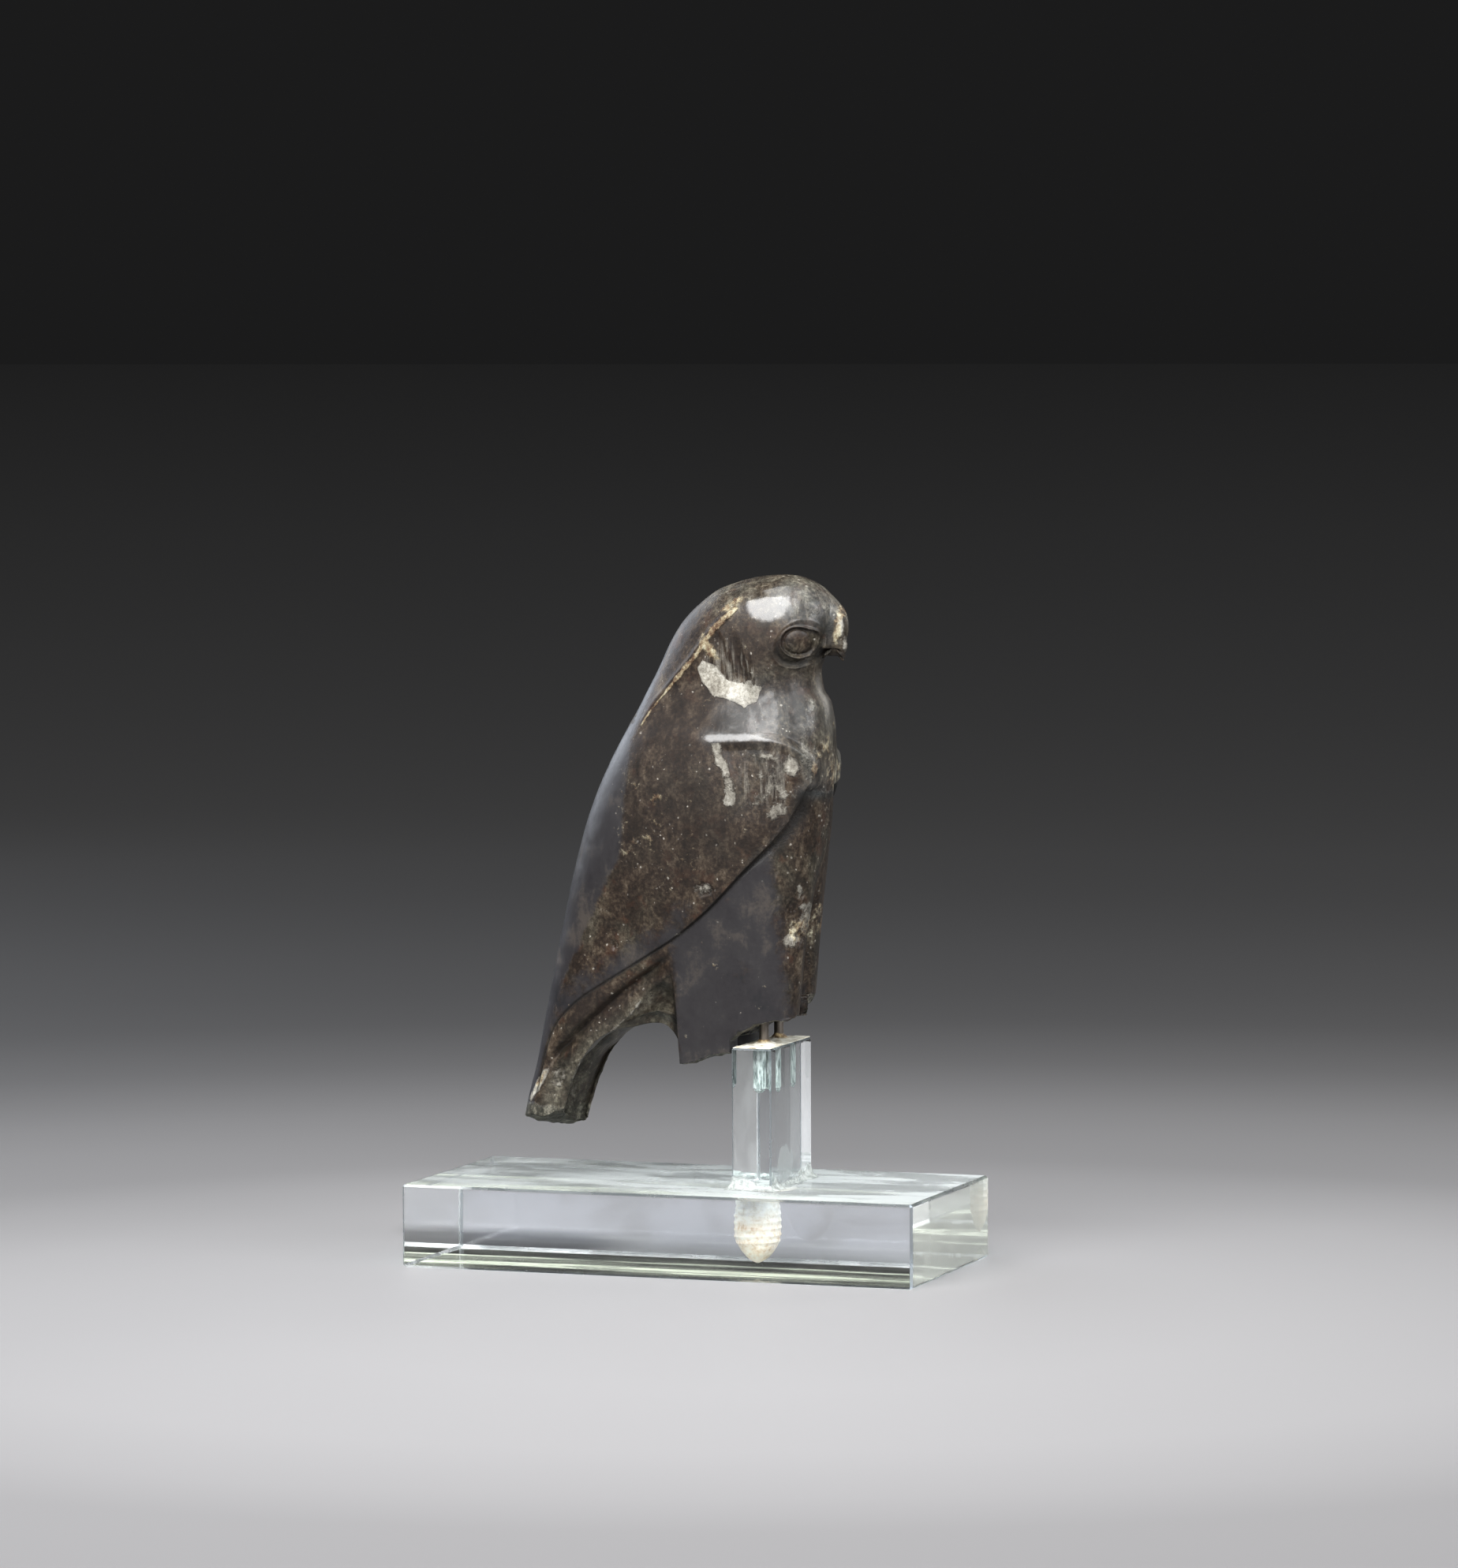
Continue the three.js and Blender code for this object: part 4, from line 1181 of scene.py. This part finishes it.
# the bed of cement that the post was set down in, seen through its foot
film = plates("foot_bed", [(
    (post_low.x + rim, post_low.y + rim, post_low.z + 2 * thin),
    (post_high.x - rim, post_high.y - rim, post_low.z + 5 * thin),
)])
tree, shader, place, cover = smeared(film, (330, 330, 330), (0.36, 0.6), (0.36, 0.385, 0.37))
fed(tree, shader, {"Alpha": spread(tree, cover, 0, 1, 0.3, 0.75)})

# on the post the bloom is thicker low down, and a patch of adhesive has run on to its front
film = plates("post_bloom", [(
    (post_low.x + rim, post_low.y - 2 * thin, post_low.z + rim),
    (post_high.x - rim, post_low.y - thin, post_high.z - rim),
), (
    (post_high.x + thin, post_low.y + rim, post_low.z + rim),
    (post_high.x + 2 * thin, post_high.y - rim, post_high.z - rim),
)])
tree, shader, place, cover = smeared(film, (190, 190, 50), (0.4, 0.66), (0.3, 0.32, 0.32))
thinner = spread(tree, axis(tree, place, "Z"), post_low.z + 0.002, post_high.z, 1.5, 0.7)
cover = times(tree, spread(tree, cover, 0, 1, 0.0, 0.075), thinner)
patch_middle = (post_high.x, -0.0035, post_low.z + 0.0038)
away = node(tree, "VectorMath", {0: place, 1: patch_middle}, operation="DISTANCE").outputs["Value"]
away = times(tree, noise(tree, place, 420, 5, 0.6), 0.005, sums(tree, "SUBTRACT", away, 0.0025))
fed(tree, shader, {"Alpha": higher(tree, cover, spread(tree, away, 0.0034, 0.0042, 0.42, 0.0))})


# The floor is a plain pale sheet; the pool of light round the stand is painted into its tone, which darkens
# as it runs back, with a painted glow further out.
# Its tones go by the distance from the stand's front, over that distance and a metre.
reach = 15
below = -0.0001
floor = piece_of("floor", np.array([
    [-reach, -reach, below], [reach, -reach, below], [reach, reach, below], [-reach, reach, below],
]), [(0, 1, 2, 3)])
sheet, tree, shader = material("floor_with_painted_light", Roughness=0.6, Specular_IOR_Level=0.2, Emission_Strength=1)
place = object_place(tree)
away = node(tree, "VectorMath", {0: place, 1: (0.03, -0.055, 0)}, operation="DISTANCE").outputs["Value"]
away = sums(tree, "DIVIDE", away, sums(tree, "ADD", away, 1))
PAINTED_LIGHT_POOL = [
    (0, 0.186), (0.08, 0.179), (0.13, 0.162), (0.16, 0.139), (0.18, 0.117), (0.21, 0.109), (0.235, 0.098),
    (0.26, 0.08), (0.285, 0.062), (0.33, 0.043), (0.4, 0.037), (0.46, 0.03), (0.5, 0.027), (1, 0.03),
]
PAINTED_GLOW = [(0.36, 0), (0.5, 0.022), (0.7, 0.021), (0.8, 0.0185), (0.92, 0.0128), (1, 0.0085)]
lit = tones(tree, away, [(at, (tone, tone * 0.985, tone)) for at, tone in PAINTED_LIGHT_POOL])
# a painted shadow on the floor close behind the stand, where the falcon's tail keeps the light off
under_tail = stretched(tree, place, (36, 46, 1), shift=(1.56, -1.42, 0))
from_tail = node(tree, "VectorMath", {0: under_tail}, operation="LENGTH").outputs["Value"]
shadow = spread(tree, from_tail, 0.5, 1.05, 0.8, 0)
fed(tree, shader, {
    "Base Color": blend(tree, shadow, lit, (0, 0, 0.002, 1)),
    "Emission Color": tones(tree, away, [(at, (tone, tone, tone * 1.01)) for at, tone in PAINTED_GLOW]),
})
floor.data.materials.append(sheet)

# Five soft lights stand round the falcon, in a room that is almost dark.
scene = bpy.context.scene
world = bpy.data.worlds.new("studio")
scene.world = world
world.use_nodes = True
world.node_tree.nodes["Background"].inputs["Color"].default_value = (0.011, 0.011, 0.0112, 1)


def soft_light(name, azimuth, elevation, distance, size, power, tint=(1, 1, 1), spread_degrees=180):
    """An area light facing the falcon from a bearing, 0 on its right side, and a height in degrees."""
    lamp = bpy.data.lights.new(name, "AREA")
    lamp.shape = "RECTANGLE"
    lamp.size, lamp.size_y = size
    lamp.energy = power
    lamp.color = tint
    lamp.spread = np.radians(spread_degrees)
    light = bpy.data.objects.new(name, lamp)
    scene.collection.objects.link(light)
    a, e = np.radians(azimuth), np.radians(elevation)
    target = Vector((0, 0, 0.08))
    light.location = target + distance * Vector((np.sin(a) * np.cos(e), -np.cos(a) * np.cos(e), np.sin(e)))
    light.rotation_euler = (target - light.location).to_track_quat("-Z", "Y").to_euler()
    light.visible_camera = False


soft_light("key", 2, 41, 1.0, (1.1, 0.8), 44.5)
soft_light("top", 30, 78, 1.2, (0.8, 0.8), 9)
soft_light("front_fill", 76, 27, 1.2, (0.7, 0.7), 5.5, (0.95, 0.97, 1), 110)
soft_light("side_fill", -113, 20, 1.1, (1.2, 0.6), 2.3, (0.84, 0.9, 1), 80)
soft_light("rim", 148, 20, 1.1, (0.4, 0.7), 1.0, (1, 0.97, 0.92), 90)

# The camera stands low in front of the falcon's right side and a little ahead of it.
photo_height = 1988
focal_pixels = 9000
sensor = 36
camera_data = bpy.data.cameras.new("camera")
camera = bpy.data.objects.new("camera", camera_data)
scene.collection.objects.link(camera)
scene.camera = camera
camera_data.sensor_width = sensor
camera_data.lens = focal_pixels * sensor / photo_height
azimuth, pitch, roll = np.radians([19.514, 3.972, 0.229])
ahead = np.array([-np.sin(azimuth) * np.cos(pitch), np.cos(azimuth) * np.cos(pitch), -np.sin(pitch)])
level = np.array([np.cos(azimuth), np.sin(azimuth), 0])
upright = np.cross(level, ahead)
right = np.cos(roll) * level - np.sin(roll) * upright
up = np.sin(roll) * level + np.cos(roll) * upright
turn = Matrix(np.stack([right, up, -ahead], axis=1).tolist()).to_4x4()
camera.matrix_world = Matrix.Translation((0.43365, -1.20499, 0.17593)) @ turn

scene.view_settings.view_transform = "Standard"
